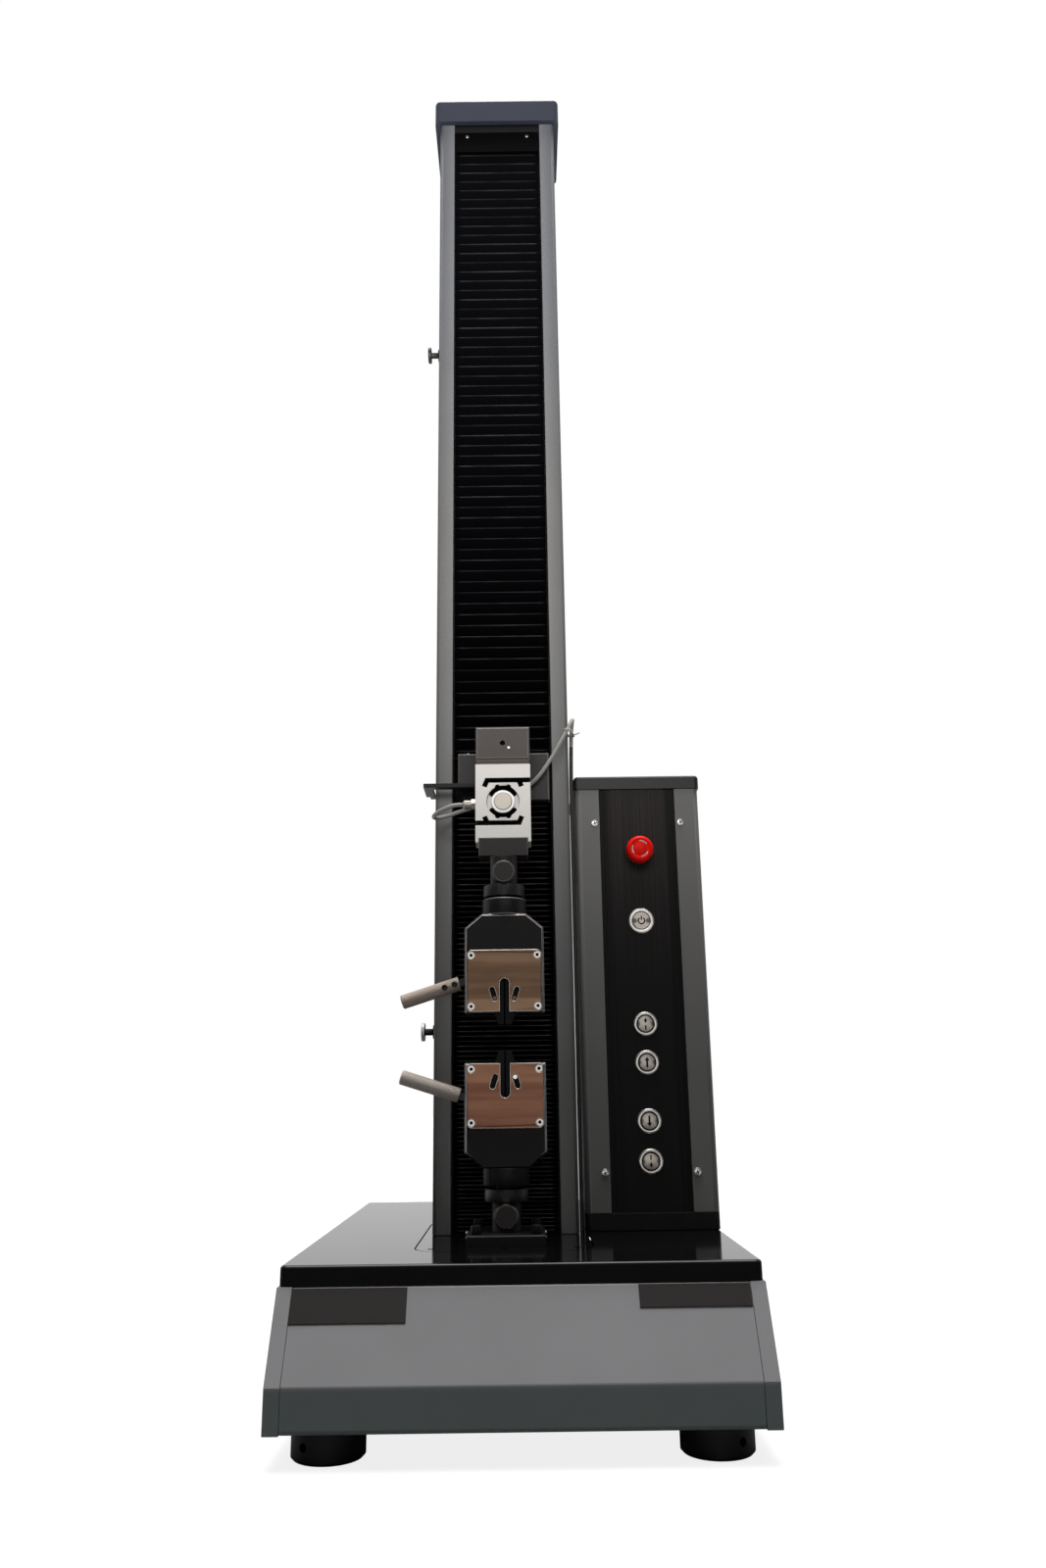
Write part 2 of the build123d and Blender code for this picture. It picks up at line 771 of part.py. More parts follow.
def make_limit_knob(height):
    """The thumb knob that clamps a limit stop, on its spindle."""
    flange_face = column_left - fit - stop_flange_thickness
    with BuildPart() as knob:
        with BuildSketch(Plane.YZ.offset(flange_face - fit)):
            with Locations((stop_y, deck + height)):
                Circle(knob_shank_radius)
        extrude(amount=-(knob_gap - fit))
        with BuildSketch(Plane.YZ.offset(flange_face - knob_gap)):
            with Locations((stop_y, deck + height)):
                Circle(knob_radius)
        extrude(amount=-knob_thickness)
        with BuildSketch(Plane.YZ.offset(flange_face - knob_gap)):
            with Locations((stop_y, deck + height)):
                Circle(knob_spindle_radius)
        extrude(amount=knob_gap + stop_flange_thickness + column_wall + stop_nut_thickness)
    return knob


for stop_name, stop_height in (("upper", upper_stop_height), ("lower", lower_stop_height)):
    save(make_limit_stop(stop_height), f"{stop_name}_limit_stop")
    save(make_limit_knob(stop_height), f"{stop_name}_limit_knob")

# Cell holder: the block that carries the load cell out in front of the carriage plate, with a narrower foot
holder_low = cell_top + spacer_height
with BuildPart() as cell_holder:
    with BuildSketch(Plane.XZ.offset(-plate_front)):
        with Locations((axis_x, holder_low + holder_height / 2)):
            Rectangle(holder_width, holder_height)
    extrude(amount=plate_front - axis_y + holder_front)
    holder_face = cell_holder.faces().sort_by(Axis.Y)[0]
    chamfer(holder_face.edges(), holder_edge)
    with BuildSketch(Plane.XZ.offset(-(axis_y - holder_front))):
        with Locations((axis_x, holder_low + holder_height / 2)):
            Circle(holder_hole_radius)
    extrude(amount=-holder_hole_depth, mode=Mode.SUBTRACT)
    with BuildSketch(Plane.XZ.offset(-plate_front)):
        with Locations((axis_x, cell_top + spacer_height / 2)):
            Rectangle(spacer_width, spacer_height)
    extrude(amount=plate_front - axis_y + holder_front - spacer_inset)
save(cell_holder, "cell_holder")

# Load cell: an S-shaped beam with two opposed slots round a bossed centre
cell_plane = Plane(origin=(axis_x, axis_y - cell_depth / 2, cell_centre), x_dir=(1, 0, 0), z_dir=(0, -1, 0))
crescent_middle = (cell_recess_radius + cell_boss_radius) / 2
crescent_sweep = 180 - 2 * crescent_start
upper_crescent = CenterArc((0, 0), crescent_middle, crescent_start, crescent_sweep)
lower_crescent = CenterArc((0, 0), crescent_middle, 180 + crescent_start, crescent_sweep)
with BuildPart() as load_cell:
    with BuildSketch(cell_plane):
        with Locations((0, cell_centre_drop - cell_height / 2)):
            Rectangle(cell_width, cell_height)
        with Locations((0, cell_centre_drop - cell_height)):
            Rectangle(socket_block_width + 2 * seam, 2 * cell_notch_height, mode=Mode.SUBTRACT)
    extrude(amount=-cell_depth)
    for turn in (1, -1):
        with BuildSketch(cell_plane):
            with BuildLine():
                Polyline(
                    (turn * cell_width / 2, turn * cell_slot_height),
                    (-turn * cell_slot_end, turn * cell_slot_height),
                    (-turn * cell_leg_x, turn * cell_leg_height),
                )
            trace(line_width=cell_slot)
            with BuildLine():
                Line(
                    (turn * cell_slot_end, turn * cell_slot_height),
                    (turn * cell_leg_x, turn * cell_leg_height),
                )
            trace(line_width=cell_slot)
        extrude(amount=-cell_depth, mode=Mode.SUBTRACT)
    with BuildSketch(cell_plane):
        SlotArc(upper_crescent, crescent_width)
        SlotArc(lower_crescent, crescent_width)
        with GridLocations(2 * lobe_x, 2 * lobe_height, 2, 2):
            Circle(lobe_radius)
    extrude(amount=-cell_depth, mode=Mode.SUBTRACT)
    with BuildSketch(cell_plane):
        Circle(cell_recess_radius)
        Circle(cell_boss_radius, mode=Mode.SUBTRACT)
    extrude(amount=-cell_recess_depth, mode=Mode.SUBTRACT)
    with BuildSketch(cell_plane):
        Circle(cell_disc_radius)
    extrude(amount=cell_disc_height)
save(load_cell, "load_cell")

# Cable gland on the load cell's left side
gland_z = cell_centre + gland_rise
gland_plane = Plane(origin=(axis_x - cell_width / 2, axis_y, gland_z), x_dir=(0, 1, 0), z_dir=(-1, 0, 0))
with BuildPart() as cell_gland:
    with BuildSketch(gland_plane):
        RegularPolygon(gland_hex, 6)
    extrude(amount=gland_hex_length)
    with BuildSketch(gland_plane.offset(gland_hex_length)):
        Circle(gland_radius)
    extrude(amount=gland_length)
    chamfer(cell_gland.faces().sort_by(Axis.X)[0].edges(), gland_radius / 4)
save(cell_gland, "cell_gland")

# Upper socket: the block under the load cell with the tube that takes the upper grip's stem
socket_low = grip_gap_middle + stem_top + fit + stem_radius / 2
socket_high = cell_bottom + cell_notch_height - seam
with BuildPart() as upper_socket:
    with BuildSketch(Plane.XY.offset(socket_low)):
        with Locations(load_axis):
            Rectangle(socket_block_width, socket_block_depth)
    extrude(amount=socket_high - socket_low)
    with BuildSketch(Plane.XY.offset(grip_gap_middle + tube_low)):
        with Locations(load_axis):
            Circle(tube_radius)
    extrude(amount=socket_low - grip_gap_middle - tube_low)
    with BuildSketch(Plane.XY.offset(grip_gap_middle + tube_low)):
        with Locations(load_axis):
            Circle(stem_radius + fit)
    extrude(amount=stem_top + fit - tube_low, mode=Mode.SUBTRACT)
    with BuildSketch(grip_plane.offset(tube_radius)):
        with Locations((0, pin_height)):
            Circle(pin_radius + fit)
    extrude(amount=-2 * tube_radius, mode=Mode.SUBTRACT)
save(upper_socket, "upper_socket")

# Lower socket: the same tube on a square flange that is screwed to the bed
flange_top = deck + flange_thickness
with BuildPart() as lower_socket:
    with BuildSketch(Plane.XY.offset(deck)):
        with Locations(load_axis):
            Rectangle(flange_width, flange_width)
    extrude(amount=flange_thickness)
    chamfer(lower_socket.faces().sort_by(Axis.Z)[-1].edges(), flange_edge)
    with BuildSketch(Plane.XY.offset(flange_top)):
        with Locations(load_axis):
            Circle(tube_radius)
    extrude(amount=grip_gap_middle - tube_low - flange_top)
    with BuildSketch(Plane.XY.offset(grip_gap_middle - tube_low)):
        with Locations(load_axis):
            Circle(stem_radius + fit)
    extrude(amount=-(stem_top + fit - tube_low), mode=Mode.SUBTRACT)
    with BuildSketch(grip_plane.offset(tube_radius)):
        with Locations((0, -pin_height)):
            Circle(pin_radius + fit)
    extrude(amount=-2 * tube_radius, mode=Mode.SUBTRACT)
save(lower_socket, "lower_socket")

with BuildPart() as socket_screws:
    with BuildSketch(Plane.XY.offset(flange_top)):
        with Locations(load_axis):
            with GridLocations(flange_screw_spread, flange_screw_spread, 2, 2):
                Circle(flange_screw_radius)
    extrude(amount=flange_screw_height)
    with BuildSketch(Plane.XY.offset(flange_top + flange_screw_height)):
        with Locations(load_axis):
            with GridLocations(flange_screw_spread, flange_screw_spread, 2, 2):
                RegularPolygon(flange_screw_socket, 6)
    extrude(amount=-flange_screw_socket_depth, mode=Mode.SUBTRACT)
save(socket_screws, "socket_screws")

# Grip body: shouldered block with a wedge pocket, a slot for the lever, a round neck and the stem
pocket_top = jaw_top + jaw_travel + fit
lever_slot_depth = grip_half_width + lever_pivot_x + lever_boss_radius + fit
pocket_side_fit = fit / math.cos(math.radians(wedge_angle))


def wedge_half_width(height):
    """Half the width over both jaws at a height from the middle of the gap."""
    return jaw_tip_half_width + (height - jaw_tip) * wedge_slope


with BuildPart() as upper_grip_body:
    with BuildSketch(grip_plane.offset(-grip_depth / 2)):
        with BuildLine():
            Polyline(
                (-grip_half_width, grip_mouth),
                (-grip_half_width, shoulder_low),
                (-shoulder_half_width, shoulder_high),
                (shoulder_half_width, shoulder_high),
                (grip_half_width, shoulder_low),
                (grip_half_width, grip_mouth),
                close=True,
            )
        make_face()
    extrude(amount=grip_depth)
    chamfer(upper_grip_body.faces().sort_by(Axis.Y)[0].edges(), grip_edge)
    with BuildSketch(Plane.XY.offset(grip_gap_middle + shoulder_high)):
        with Locations(load_axis):
            Circle(neck_radius)
    extrude(amount=neck_top - shoulder_high)
    with BuildSketch(Plane.XY.offset(grip_gap_middle + neck_top)):
        with Locations(load_axis):
            Circle(stem_radius)
    extrude(amount=stem_top - neck_top)
    with BuildSketch(grip_plane.offset(-jaw_back - fit)):
        with BuildLine():
            mouth_half = wedge_half_width(grip_mouth) + pocket_side_fit
            top_half = wedge_half_width(pocket_top) + pocket_side_fit
            Polyline(
                (-mouth_half, grip_mouth),
                (-top_half, pocket_top),
                (top_half, pocket_top),
                (mouth_half, grip_mouth),
                close=True,
            )
        make_face()
    extrude(amount=grip_depth / 2 + jaw_back + fit, mode=Mode.SUBTRACT)
    with BuildSketch(grip_plane.offset(-lever_thickness / 2 - fit)):
        with Locations((-grip_half_width + lever_slot_depth / 2, lever_pivot_height)):
            Rectangle(lever_slot_depth, lever_slot_height)
    extrude(amount=lever_thickness + 2 * fit, mode=Mode.SUBTRACT)
    with BuildSketch(grip_plane.offset(-grip_depth / 2)):
        with Locations((lever_pivot_x, lever_pivot_height)):
            Circle(lever_pin_radius + fit)
    extrude(amount=grip_depth, mode=Mode.SUBTRACT)
    with BuildSketch(grip_plane.offset(stem_radius)):
        with Locations((0, pin_height)):
            Circle(pin_radius + fit)
    extrude(amount=-2 * stem_radius, mode=Mode.SUBTRACT)
save(upper_grip_body, "upper_grip_body")
save(mirrored(upper_grip_body), "lower_grip_body")

# Grip cover plate: slotted for the specimen and for the two jaw pins
slot_run = jaw_travel + 2 * fit
with BuildPart() as upper_grip_cover:
    with BuildSketch(grip_plane.offset(grip_depth / 2)):
        with Locations((0, (cover_low + cover_high) / 2)):
            Rectangle(2 * cover_half_width, cover_high - cover_low)
            with GridLocations(grip_screw_spread, grip_screw_pitch, 2, 2):
                Circle(grip_screw_radius / 2, mode=Mode.SUBTRACT)
        with Locations((0, cover_low)):
            SlotOverall(
                2 * (centre_slot_top - cover_low), centre_slot_width, rotation=90, mode=Mode.SUBTRACT
            )
        for side in (-1, 1):
            slot_turn = math.radians(wedge_angle)
            slot_middle = (
                side * (jaw_pin_x + jaw_travel / 2 * math.sin(slot_turn)),
                jaw_pin_height + jaw_travel / 2 * math.cos(slot_turn),
            )
            with Locations(slot_middle):
                SlotCenterToCenter(
                    slot_run, jaw_slot_width, rotation=90 - side * wedge_angle, mode=Mode.SUBTRACT
                )
    extrude(amount=cover_thickness)
    chamfer(upper_grip_cover.edges().filter_by(Axis.Y).group_by(Axis.X)[0], cover_corner_cut)
    chamfer(upper_grip_cover.edges().filter_by(Axis.Y).group_by(Axis.X)[-1], cover_corner_cut)
    with BuildSketch(grip_plane.offset(grip_depth / 2 + cover_thickness)):
        with Locations((0, (cover_low + cover_high) / 2)):
            with GridLocations(grip_screw_spread, grip_screw_pitch, 2, 2):
                Circle(grip_screw_radius)
    extrude(amount=-grip_screw_depth, mode=Mode.SUBTRACT)
save(upper_grip_cover, "upper_grip_cover")
save(mirrored(upper_grip_cover), "lower_grip_cover")


def make_jaw(side):
    """A wedge jaw of the upper grip with the pin that runs in the cover's slanted slot."""
    with BuildPart() as jaw:
        with BuildSketch(grip_plane.offset(-jaw_back)):
            with BuildLine():
                Polyline(
                    (side * jaw_face_gap, jaw_tip),
                    (side * jaw_tip_half_width, jaw_tip),
                    (side * wedge_half_width(jaw_top), jaw_top),
                    (side * jaw_face_gap, jaw_top),
                    close=True,
                )
            make_face()
        extrude(amount=grip_depth / 2 - fit + jaw_back)
        with BuildSketch(grip_plane.offset(grip_depth / 2 - fit)):
            with Locations((side * jaw_pin_x, jaw_pin_height)):
                Circle(jaw_pin_radius)
        extrude(amount=cover_thickness)
    return jaw


for side_name, side in (("left", -1), ("right", 1)):
    upper_jaw = make_jaw(side)
    save(upper_jaw, f"upper_{side_name}_jaw")
    save(mirrored(upper_jaw), f"lower_{side_name}_jaw")


def make_lever(holes):
    """A grip's lever: pivot pin, boss and arm in the body's slot, and a round handle with given holes."""
    turn = math.radians(lever_angle)
    along = Vector(-math.cos(turn), 0, -math.sin(turn))
    pivot = grip_plane.from_local_coords(Vector(lever_pivot_x, lever_pivot_height, 0))
    with BuildPart() as lever:
        with BuildSketch(grip_plane.offset(-grip_depth / 2 + fit)):
            with Locations((lever_pivot_x, lever_pivot_height)):
                Circle(lever_pin_radius)
        extrude(amount=grip_depth - 2 * fit)
        with BuildSketch(grip_plane.offset(-lever_thickness / 2)):
            with Locations(Location((lever_pivot_x, lever_pivot_height), lever_angle)):
                Circle(lever_boss_radius)
                with Locations((-handle_start / 2 - handle_edge, 0)):
                    Rectangle(handle_start + 2 * handle_edge, lever_arm_height)
        extrude(amount=lever_thickness)
        with BuildSketch(Plane(origin=pivot + along * handle_start, x_dir=(0, 1, 0), z_dir=along)):
            Circle(handle_radius)
        extrude(amount=handle_length)
        chamfer(lever.edges().filter_by(GeomType.CIRCLE).sort_by(Axis.X)[0], handle_edge)
        for place in holes:
            mouth = pivot + along * (handle_start + place) - Vector(0, handle_radius, 0)
            with BuildSketch(Plane(origin=mouth, z_dir=(0, -1, 0))):
                Circle(handle_hole_radius)
            extrude(amount=-handle_radius, mode=Mode.SUBTRACT)
    return lever


save(make_lever(handle_hole_places), "upper_lever")
save(mirrored(make_lever(())), "lower_lever")

# Clevis pin through socket and stem, with its round head in front
with BuildPart() as upper_clevis_pin:
    with BuildSketch(grip_plane.offset(tube_radius + fit)):
        with Locations((0, pin_height)):
            Circle(pin_head_radius)
    extrude(amount=pin_head_thickness)
    chamfer(upper_clevis_pin.edges().group_by(Axis.Y)[0], pin_head_edge)
    with BuildSketch(grip_plane.offset(tube_radius + fit)):
        with Locations((0, pin_height)):
            Circle(pin_radius)
    extrude(amount=-tube_radius - fit - pin_tail)
save(upper_clevis_pin, "upper_clevis_pin")
save(mirrored(upper_clevis_pin), "lower_clevis_pin")

# Lock ring on the stem, notched for a hook spanner
with BuildPart() as upper_lock_ring:
    with BuildSketch(Plane.XY.offset(grip_gap_middle + ring_low)):
        with Locations(load_axis):
            Circle(ring_radius)
            Circle(stem_radius + fit, mode=Mode.SUBTRACT)
            with PolarLocations(ring_radius, ring_notches):
                Rectangle(2 * ring_notch_depth, ring_notch_width, mode=Mode.SUBTRACT)
    extrude(amount=ring_high - ring_low)
save(upper_lock_ring, "upper_lock_ring")
save(mirrored(upper_lock_ring), "lower_lock_ring")

# Control tower: plinth, folded shell, black profile panel between the shell's front strips, and cap
with BuildPart() as tower_plinth:
    with BuildSketch(Plane.XY.offset(deck)):
        with Locations((tower_middle, tower_centre_y)):
            RectangleRounded(tower_width, tower_depth, tower_corner)
    extrude(amount=plinth_height)
save(tower_plinth, "tower_plinth")

with BuildPart() as tower_shell:
    with BuildSketch(Plane.XY.offset(tower_low)):
        with Locations((tower_middle, tower_centre_y)):
            RectangleRounded(tower_width, tower_depth, tower_corner)
            Rectangle(tower_width - 2 * tower_sheet, tower_depth - 2 * tower_sheet, mode=Mode.SUBTRACT)
        with Locations((tower_middle, tower_front)):
            Rectangle(panel_width, 2 * tower_sheet, mode=Mode.SUBTRACT)
    extrude(amount=tower_body_height)
save(tower_shell, "tower_shell")

arrow_button_heights = {
    "fast_up": fast_up_height,
    "up": up_height,
    "down": down_height,
    "fast_down": fast_down_height,
}
control_heights = [stop_button_height, power_button_height, *arrow_button_heights.values()]
control_spots = [(0, height) for height in control_heights]
with BuildPart() as tower_panel:
    with BuildSketch(Plane.XY.offset(tower_low)):
        with Locations((tower_middle, panel_face + panel_face_depth / 2)):
            Rectangle(panel_width - 2 * seam, panel_face_depth)
        with Locations((tower_middle, panel_face + panel_face_depth + panel_flange_depth / 2)):
            Rectangle(panel_flange_width, panel_flange_depth)
        for spread in panel_groove_spreads:
            with Locations((tower_middle, panel_face)):
                with GridLocations(spread, 0, 2, 1):
                    Rectangle(panel_groove_width, 2 * panel_groove_depth, mode=Mode.SUBTRACT)
    extrude(amount=tower_body_height)
    with BuildSketch(button_plane):
        with Locations(*control_spots):
            Circle(barrel_radius + fit)
    extrude(amount=-panel_face_depth - panel_flange_depth, mode=Mode.SUBTRACT)
save(tower_panel, "tower_panel")

with BuildPart() as tower_cap:
    with BuildSketch(Plane.XY.offset(tower_high)):
        with Locations((tower_middle, tower_centre_y)):
            RectangleRounded(
                tower_width + 2 * tower_cap_overhang, tower_depth + 2 * tower_cap_overhang, tower_corner
            )
    extrude(amount=tower_cap_height)
    fillet(tower_cap.faces().sort_by(Axis.Z)[-1].edges(), tower_cap_edge)
save(tower_cap, "tower_cap")

# Bezels of the push buttons and the collar of the stop button, each with its barrel behind the panel
with BuildPart() as button_bezels:
    with BuildSketch(button_plane):
        with Locations(*control_spots[2:]):
            Circle(arrow_bezel_radius)
        with Locations(control_spots[1]):
            Circle(power_bezel_radius)
        with Locations(control_spots[0]):
            Circle(stop_collar_radius)
    extrude(amount=bezel_proud)
    chamfer(button_bezels.edges().group_by(Axis.Y)[0], bezel_edge)
    with BuildSketch(button_plane):
        with Locations(*control_spots):
            Circle(barrel_radius)
    extrude(amount=-barrel_length)
    with BuildSketch(button_plane.offset(bezel_proud)):
        with Locations(*control_spots):
            Circle(button_bore_radius)
    extrude(amount=-bezel_proud - barrel_length, mode=Mode.SUBTRACT)
save(button_bezels, "button_bezels")


def make_button(height):
    """A push button's round cap in its bezel."""
    with BuildPart() as button:
        with BuildSketch(button_plane.offset(-button_back)):
            with Locations((0, height)):
                Circle(button_bore_radius - fit)
        extrude(amount=button_back + button_front)
        chamfer(button.edges().group_by(Axis.Y)[0], button_edge)
    return button


save(make_button(power_button_height), "power_button")
for arrow_name, arrow_height in arrow_button_heights.items():
    save(make_button(arrow_height), f"{arrow_name}_button")

# Stop button: a stem that slides in the collar, and the mushroom head that twists on its spigot
with BuildPart() as stop_button_stem:
    with BuildSketch(button_plane.offset(-stop_stem_back)):
        with Locations(control_spots[0]):
            Circle(button_bore_radius - fit)
    extrude(amount=stop_stem_back + stop_stem_front)
    with BuildSketch(button_plane.offset(stop_stem_front)):
        with Locations(control_spots[0]):
            Circle(stop_spigot_radius)
    extrude(amount=stop_spigot_front - stop_stem_front)
save(stop_button_stem, "stop_button_stem")

with BuildPart() as stop_button_head:
    with BuildSketch(button_plane.offset(stop_stem_front + fit)):
        with Locations(control_spots[0]):
            Circle(stop_hub_radius)
    extrude(amount=stop_head_back - stop_stem_front - fit)
    with BuildSketch(button_plane.offset(stop_head_back)):
        with Locations(control_spots[0]):
            Circle(stop_head_radius)
    extrude(amount=stop_head_front - stop_head_back)
    chamfer(stop_button_head.edges().group_by(Axis.Y)[0], stop_head_edge)
    with BuildSketch(button_plane.offset(stop_stem_front + fit)):
        with Locations(control_spots[0]):
            Circle(stop_spigot_radius + fit)
    extrude(amount=stop_spigot_front - stop_stem_front, mode=Mode.SUBTRACT)
save(stop_button_head, "stop_button_head")


def bend_radii(route):
    """The largest arc at each corner of a route that its two runs leave room for."""
    points = [Vector(*point) for point in route]
    radii = []
    for before, corner, after in zip(points, points[1:], points[2:]):
        shorter = min((corner - before).length, (after - corner).length)
        turn = math.radians((corner - before).get_angle(after - corner))
        radii.append(0.45 * shorter / math.tan(turn / 2))
    return radii


def make_cable(route, name):
    """A round cable along a route of points, with the bends as round as the route allows."""
    radii = bend_radii(route)
    with BuildPart() as cable:
        with BuildLine():
            path = FilletPolyline(*route, radius=radii)
        with BuildSketch(Plane(origin=path @ 0, z_dir=path % 0)):
            Circle(cable_radius)
        sweep()
    share = cable.part.volume / (math.pi * cable_radius**2 * path.length)
    print(name, "length", round(path.length, 1), "volume share", round(share, 4))
    print(name, "radii", [round(radius, 1) for radius in radii])
    return cable


save(make_cable(cell_cable_route, "cell_cable"), "cell_cable")
save(make_cable(cable_drop_route, "cable_drop"), "cable_drop")
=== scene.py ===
import math
from functools import partialmethod

import bmesh
import bpy
from mathutils import Matrix, Vector


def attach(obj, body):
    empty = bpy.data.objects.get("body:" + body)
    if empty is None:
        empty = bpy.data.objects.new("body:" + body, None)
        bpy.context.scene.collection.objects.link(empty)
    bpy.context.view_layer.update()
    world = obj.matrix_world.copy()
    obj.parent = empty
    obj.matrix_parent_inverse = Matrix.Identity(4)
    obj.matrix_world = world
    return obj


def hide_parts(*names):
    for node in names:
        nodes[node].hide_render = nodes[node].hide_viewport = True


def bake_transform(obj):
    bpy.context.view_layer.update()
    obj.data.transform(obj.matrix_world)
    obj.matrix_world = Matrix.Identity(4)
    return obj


bl_info = {
    "name": "Testing machine dressing",
    "version": (1, 0, 0),
    "blender": (4, 5, 0),
    "location": "View3D > Sidebar > Testing machine",
    "description": "Finishes, small fittings and studio for a single-column testing machine",
    "category": "Object",
}

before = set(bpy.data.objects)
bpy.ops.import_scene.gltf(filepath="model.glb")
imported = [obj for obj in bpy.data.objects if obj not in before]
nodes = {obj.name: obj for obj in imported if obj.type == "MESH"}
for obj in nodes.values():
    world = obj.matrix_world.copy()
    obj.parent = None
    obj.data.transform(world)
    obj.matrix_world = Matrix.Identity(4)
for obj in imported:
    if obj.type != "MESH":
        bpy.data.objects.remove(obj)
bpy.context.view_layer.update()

# Places and sizes in millimetres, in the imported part's frame
MM = 0.001
FORWARD = (0, -1, 0)
UPWARD = (0, 0, 1)
DECK = 143.0
COLUMN_X = -15.5
BELLOWS_WIDTH = 105.0
BELLOWS_FRONT = -66.3
BELLOWS_BACK = -51.8
BELLOWS_TOP = 1479.0
NECK_TOP = 633.5
NECK_BOTTOM = 584.5
AXIS_X = -13.8
AXIS_Y = -117.0
CELL_MIDDLE = 568.2
GRIP_MIDDLE = 330.5
COVER_FRONT = AXIS_Y - 24.0
LEVER_X = AXIS_X - 31.0
LEVER_TILT = math.radians(17.5)
TOWER_X = 132.25
TOWER_FRONT = -50.0
PANEL_FACE = -49.2
BUTTON_FACE = PANEL_FACE - 2.0
POWER_HEIGHT = 454.7
STOP_HEIGHT = 530.0
CABLE_RADIUS = 2.2

# The cables' routes, from the gland to the tie and from the tie to the base
CELL_CABLE = [
    (-55.5, -117.0, 568.8), (-63.5, -117.0, 568.8), (-72.6, -117.0, 566.0), (-83.9, -112.3, 561.5),
    (-88.6, -101.0, 559.4), (-83.9, -89.7, 561.0), (-72.6, -85.0, 565.2), (-60.5, -84.6, 569.6),
    (-44.0, -85.6, 574.0), (-24.0, -87.4, 579.3), (-2.0, -89.0, 587.0), (20.0, -89.6, 600.0),
    (37.0, -87.0, 624.5), (51.5, -83.0, 651.5), (60.0, -78.5, 668.5), (63.0, -72.0, 676.0),
    (62.5, -63.0, 675.0), (61.5, -58.0, 664.0), (61.2, -55.0, 649.0),
]
CABLE_DROP = [
    (61.2, -55.0, 649.0), (60.6, -49.0, 619.0), (60.8, -44.5, 575.0), (61.0, -41.5, 518.0),
    (61.0, -40.5, 458.0), (61.0, -42.0, 398.0), (61.0, -41.5, 338.0), (61.0, -39.5, 278.0),
    (61.0, -40.5, 218.0), (61.0, -40.0, 168.0), (61.0, -40.2, 130.0),
]


def tint(name, description, default):
    return bpy.props.FloatVectorProperty(
        name=name, description=description, default=default, min=0.0, max=1.0, size=3, subtype="COLOR"
    )


def slider(name, description, default, low, high):
    return bpy.props.FloatProperty(
        name=name, description=description, default=default, min=low, max=high, subtype="FACTOR"
    )


def count(name, description, default, low, high):
    return bpy.props.IntProperty(name=name, description=description, default=default, min=low, max=high)


class FinishSettings(bpy.types.PropertyGroup):
    edge: slider("Edge rounding", "Width of the rounded edges, where 1 is the machine's own", 1.0, 0.1, 4.0)
    grain: slider("Paint grain", "How coarse the sprayed paint is", 0.04, 0.0, 0.5)
    column: tint("Column", "Paint on the upper part of the column", (0.192, 0.196, 0.208))
    tower: tint("Tower", "Paint on the control tower", (0.172, 0.17, 0.164))
    base: tint("Base", "Paint on the base's panels", (0.228, 0.228, 0.234))
    cap: tint("Column cap", "Paint on the column's cap", (0.037, 0.042, 0.066))
    stop: tint("Stop button", "Plastic of the stop button's head", (0.98, 0.008, 0.004))


class BellowsSettings(bpy.types.PropertyGroup):
    # The line along each front crease is a painted highlight; crease is its width and that of the crease's
    # flat front.
    crease: bpy.props.FloatProperty(
        name="Crease width", description="Width of the worn line along each front crease", default=0.0006,
        min=0.0002, max=0.003, precision=5, subtype="DISTANCE", unit="LENGTH",
    )
    upper_pleats: count("Pleats above", "Pleats between the crosshead and the column's top", 60, 10, 120)
    lower_pleats: count("Pleats below", "Pleats between the base and the crosshead", 87, 10, 160)


class FittingSettings(bpy.types.PropertyGroup):
    segments: count("Round segments", "Faces round each screw head and button", 40, 12, 96)


class StudioSettings(bpy.types.PropertyGroup):
    key: bpy.props.FloatProperty(
        name="Key light", description="Power of the lamp over the camera", default=11.0, min=0.0, max=500.0,
        unit="POWER",
    )
    sky: slider("Overhead level", "Brightness of the light from straight above", 20.0, 0.0, 60.0)
    backdrop: slider("Backdrop level", "Light that the backdrop throws on the machine", 0.4, 0.0, 2.0)
    card: slider("Front card level", "Brightness of the card that only the metals mirror", 1.0, 0.0, 4.0)


class Value:
    """A socket of a material's node tree that can be used in sums."""

    def __init__(self, graph, socket):
        self.graph = graph
        self.socket = socket

    def maths(self, operation, other, swap=False):
        first, second = (other, self) if swap else (self, other)
        return self.graph.node("ShaderNodeMath", first, second, operation=operation)

    __add__ = __radd__ = partialmethod(maths, "ADD")
    __sub__ = partialmethod(maths, "SUBTRACT")
    __rsub__ = partialmethod(maths, "SUBTRACT", swap=True)
    __mul__ = __rmul__ = partialmethod(maths, "MULTIPLY")
    above = partialmethod(maths, "GREATER_THAN")
    below = partialmethod(maths, "LESS_THAN")
    least = partialmethod(maths, "MINIMUM")
    most = partialmethod(maths, "MAXIMUM")
    power = partialmethod(maths, "POWER")
    sine = partialmethod(maths, "SINE", 0.0)
    size = partialmethod(maths, "ABSOLUTE", 0.0)

    def output(self, name):
        """Another output of the same node."""
        return Value(self.graph, self.socket.node.outputs[name])

    def soften(self, low, high, start=0.0, end=1.0):
        """This value from low to high, eased to run from start to end."""
        return self.graph.node(
            "ShaderNodeMapRange", self, low, high, start, end, interpolation_type="SMOOTHSTEP", clamp=True
        )


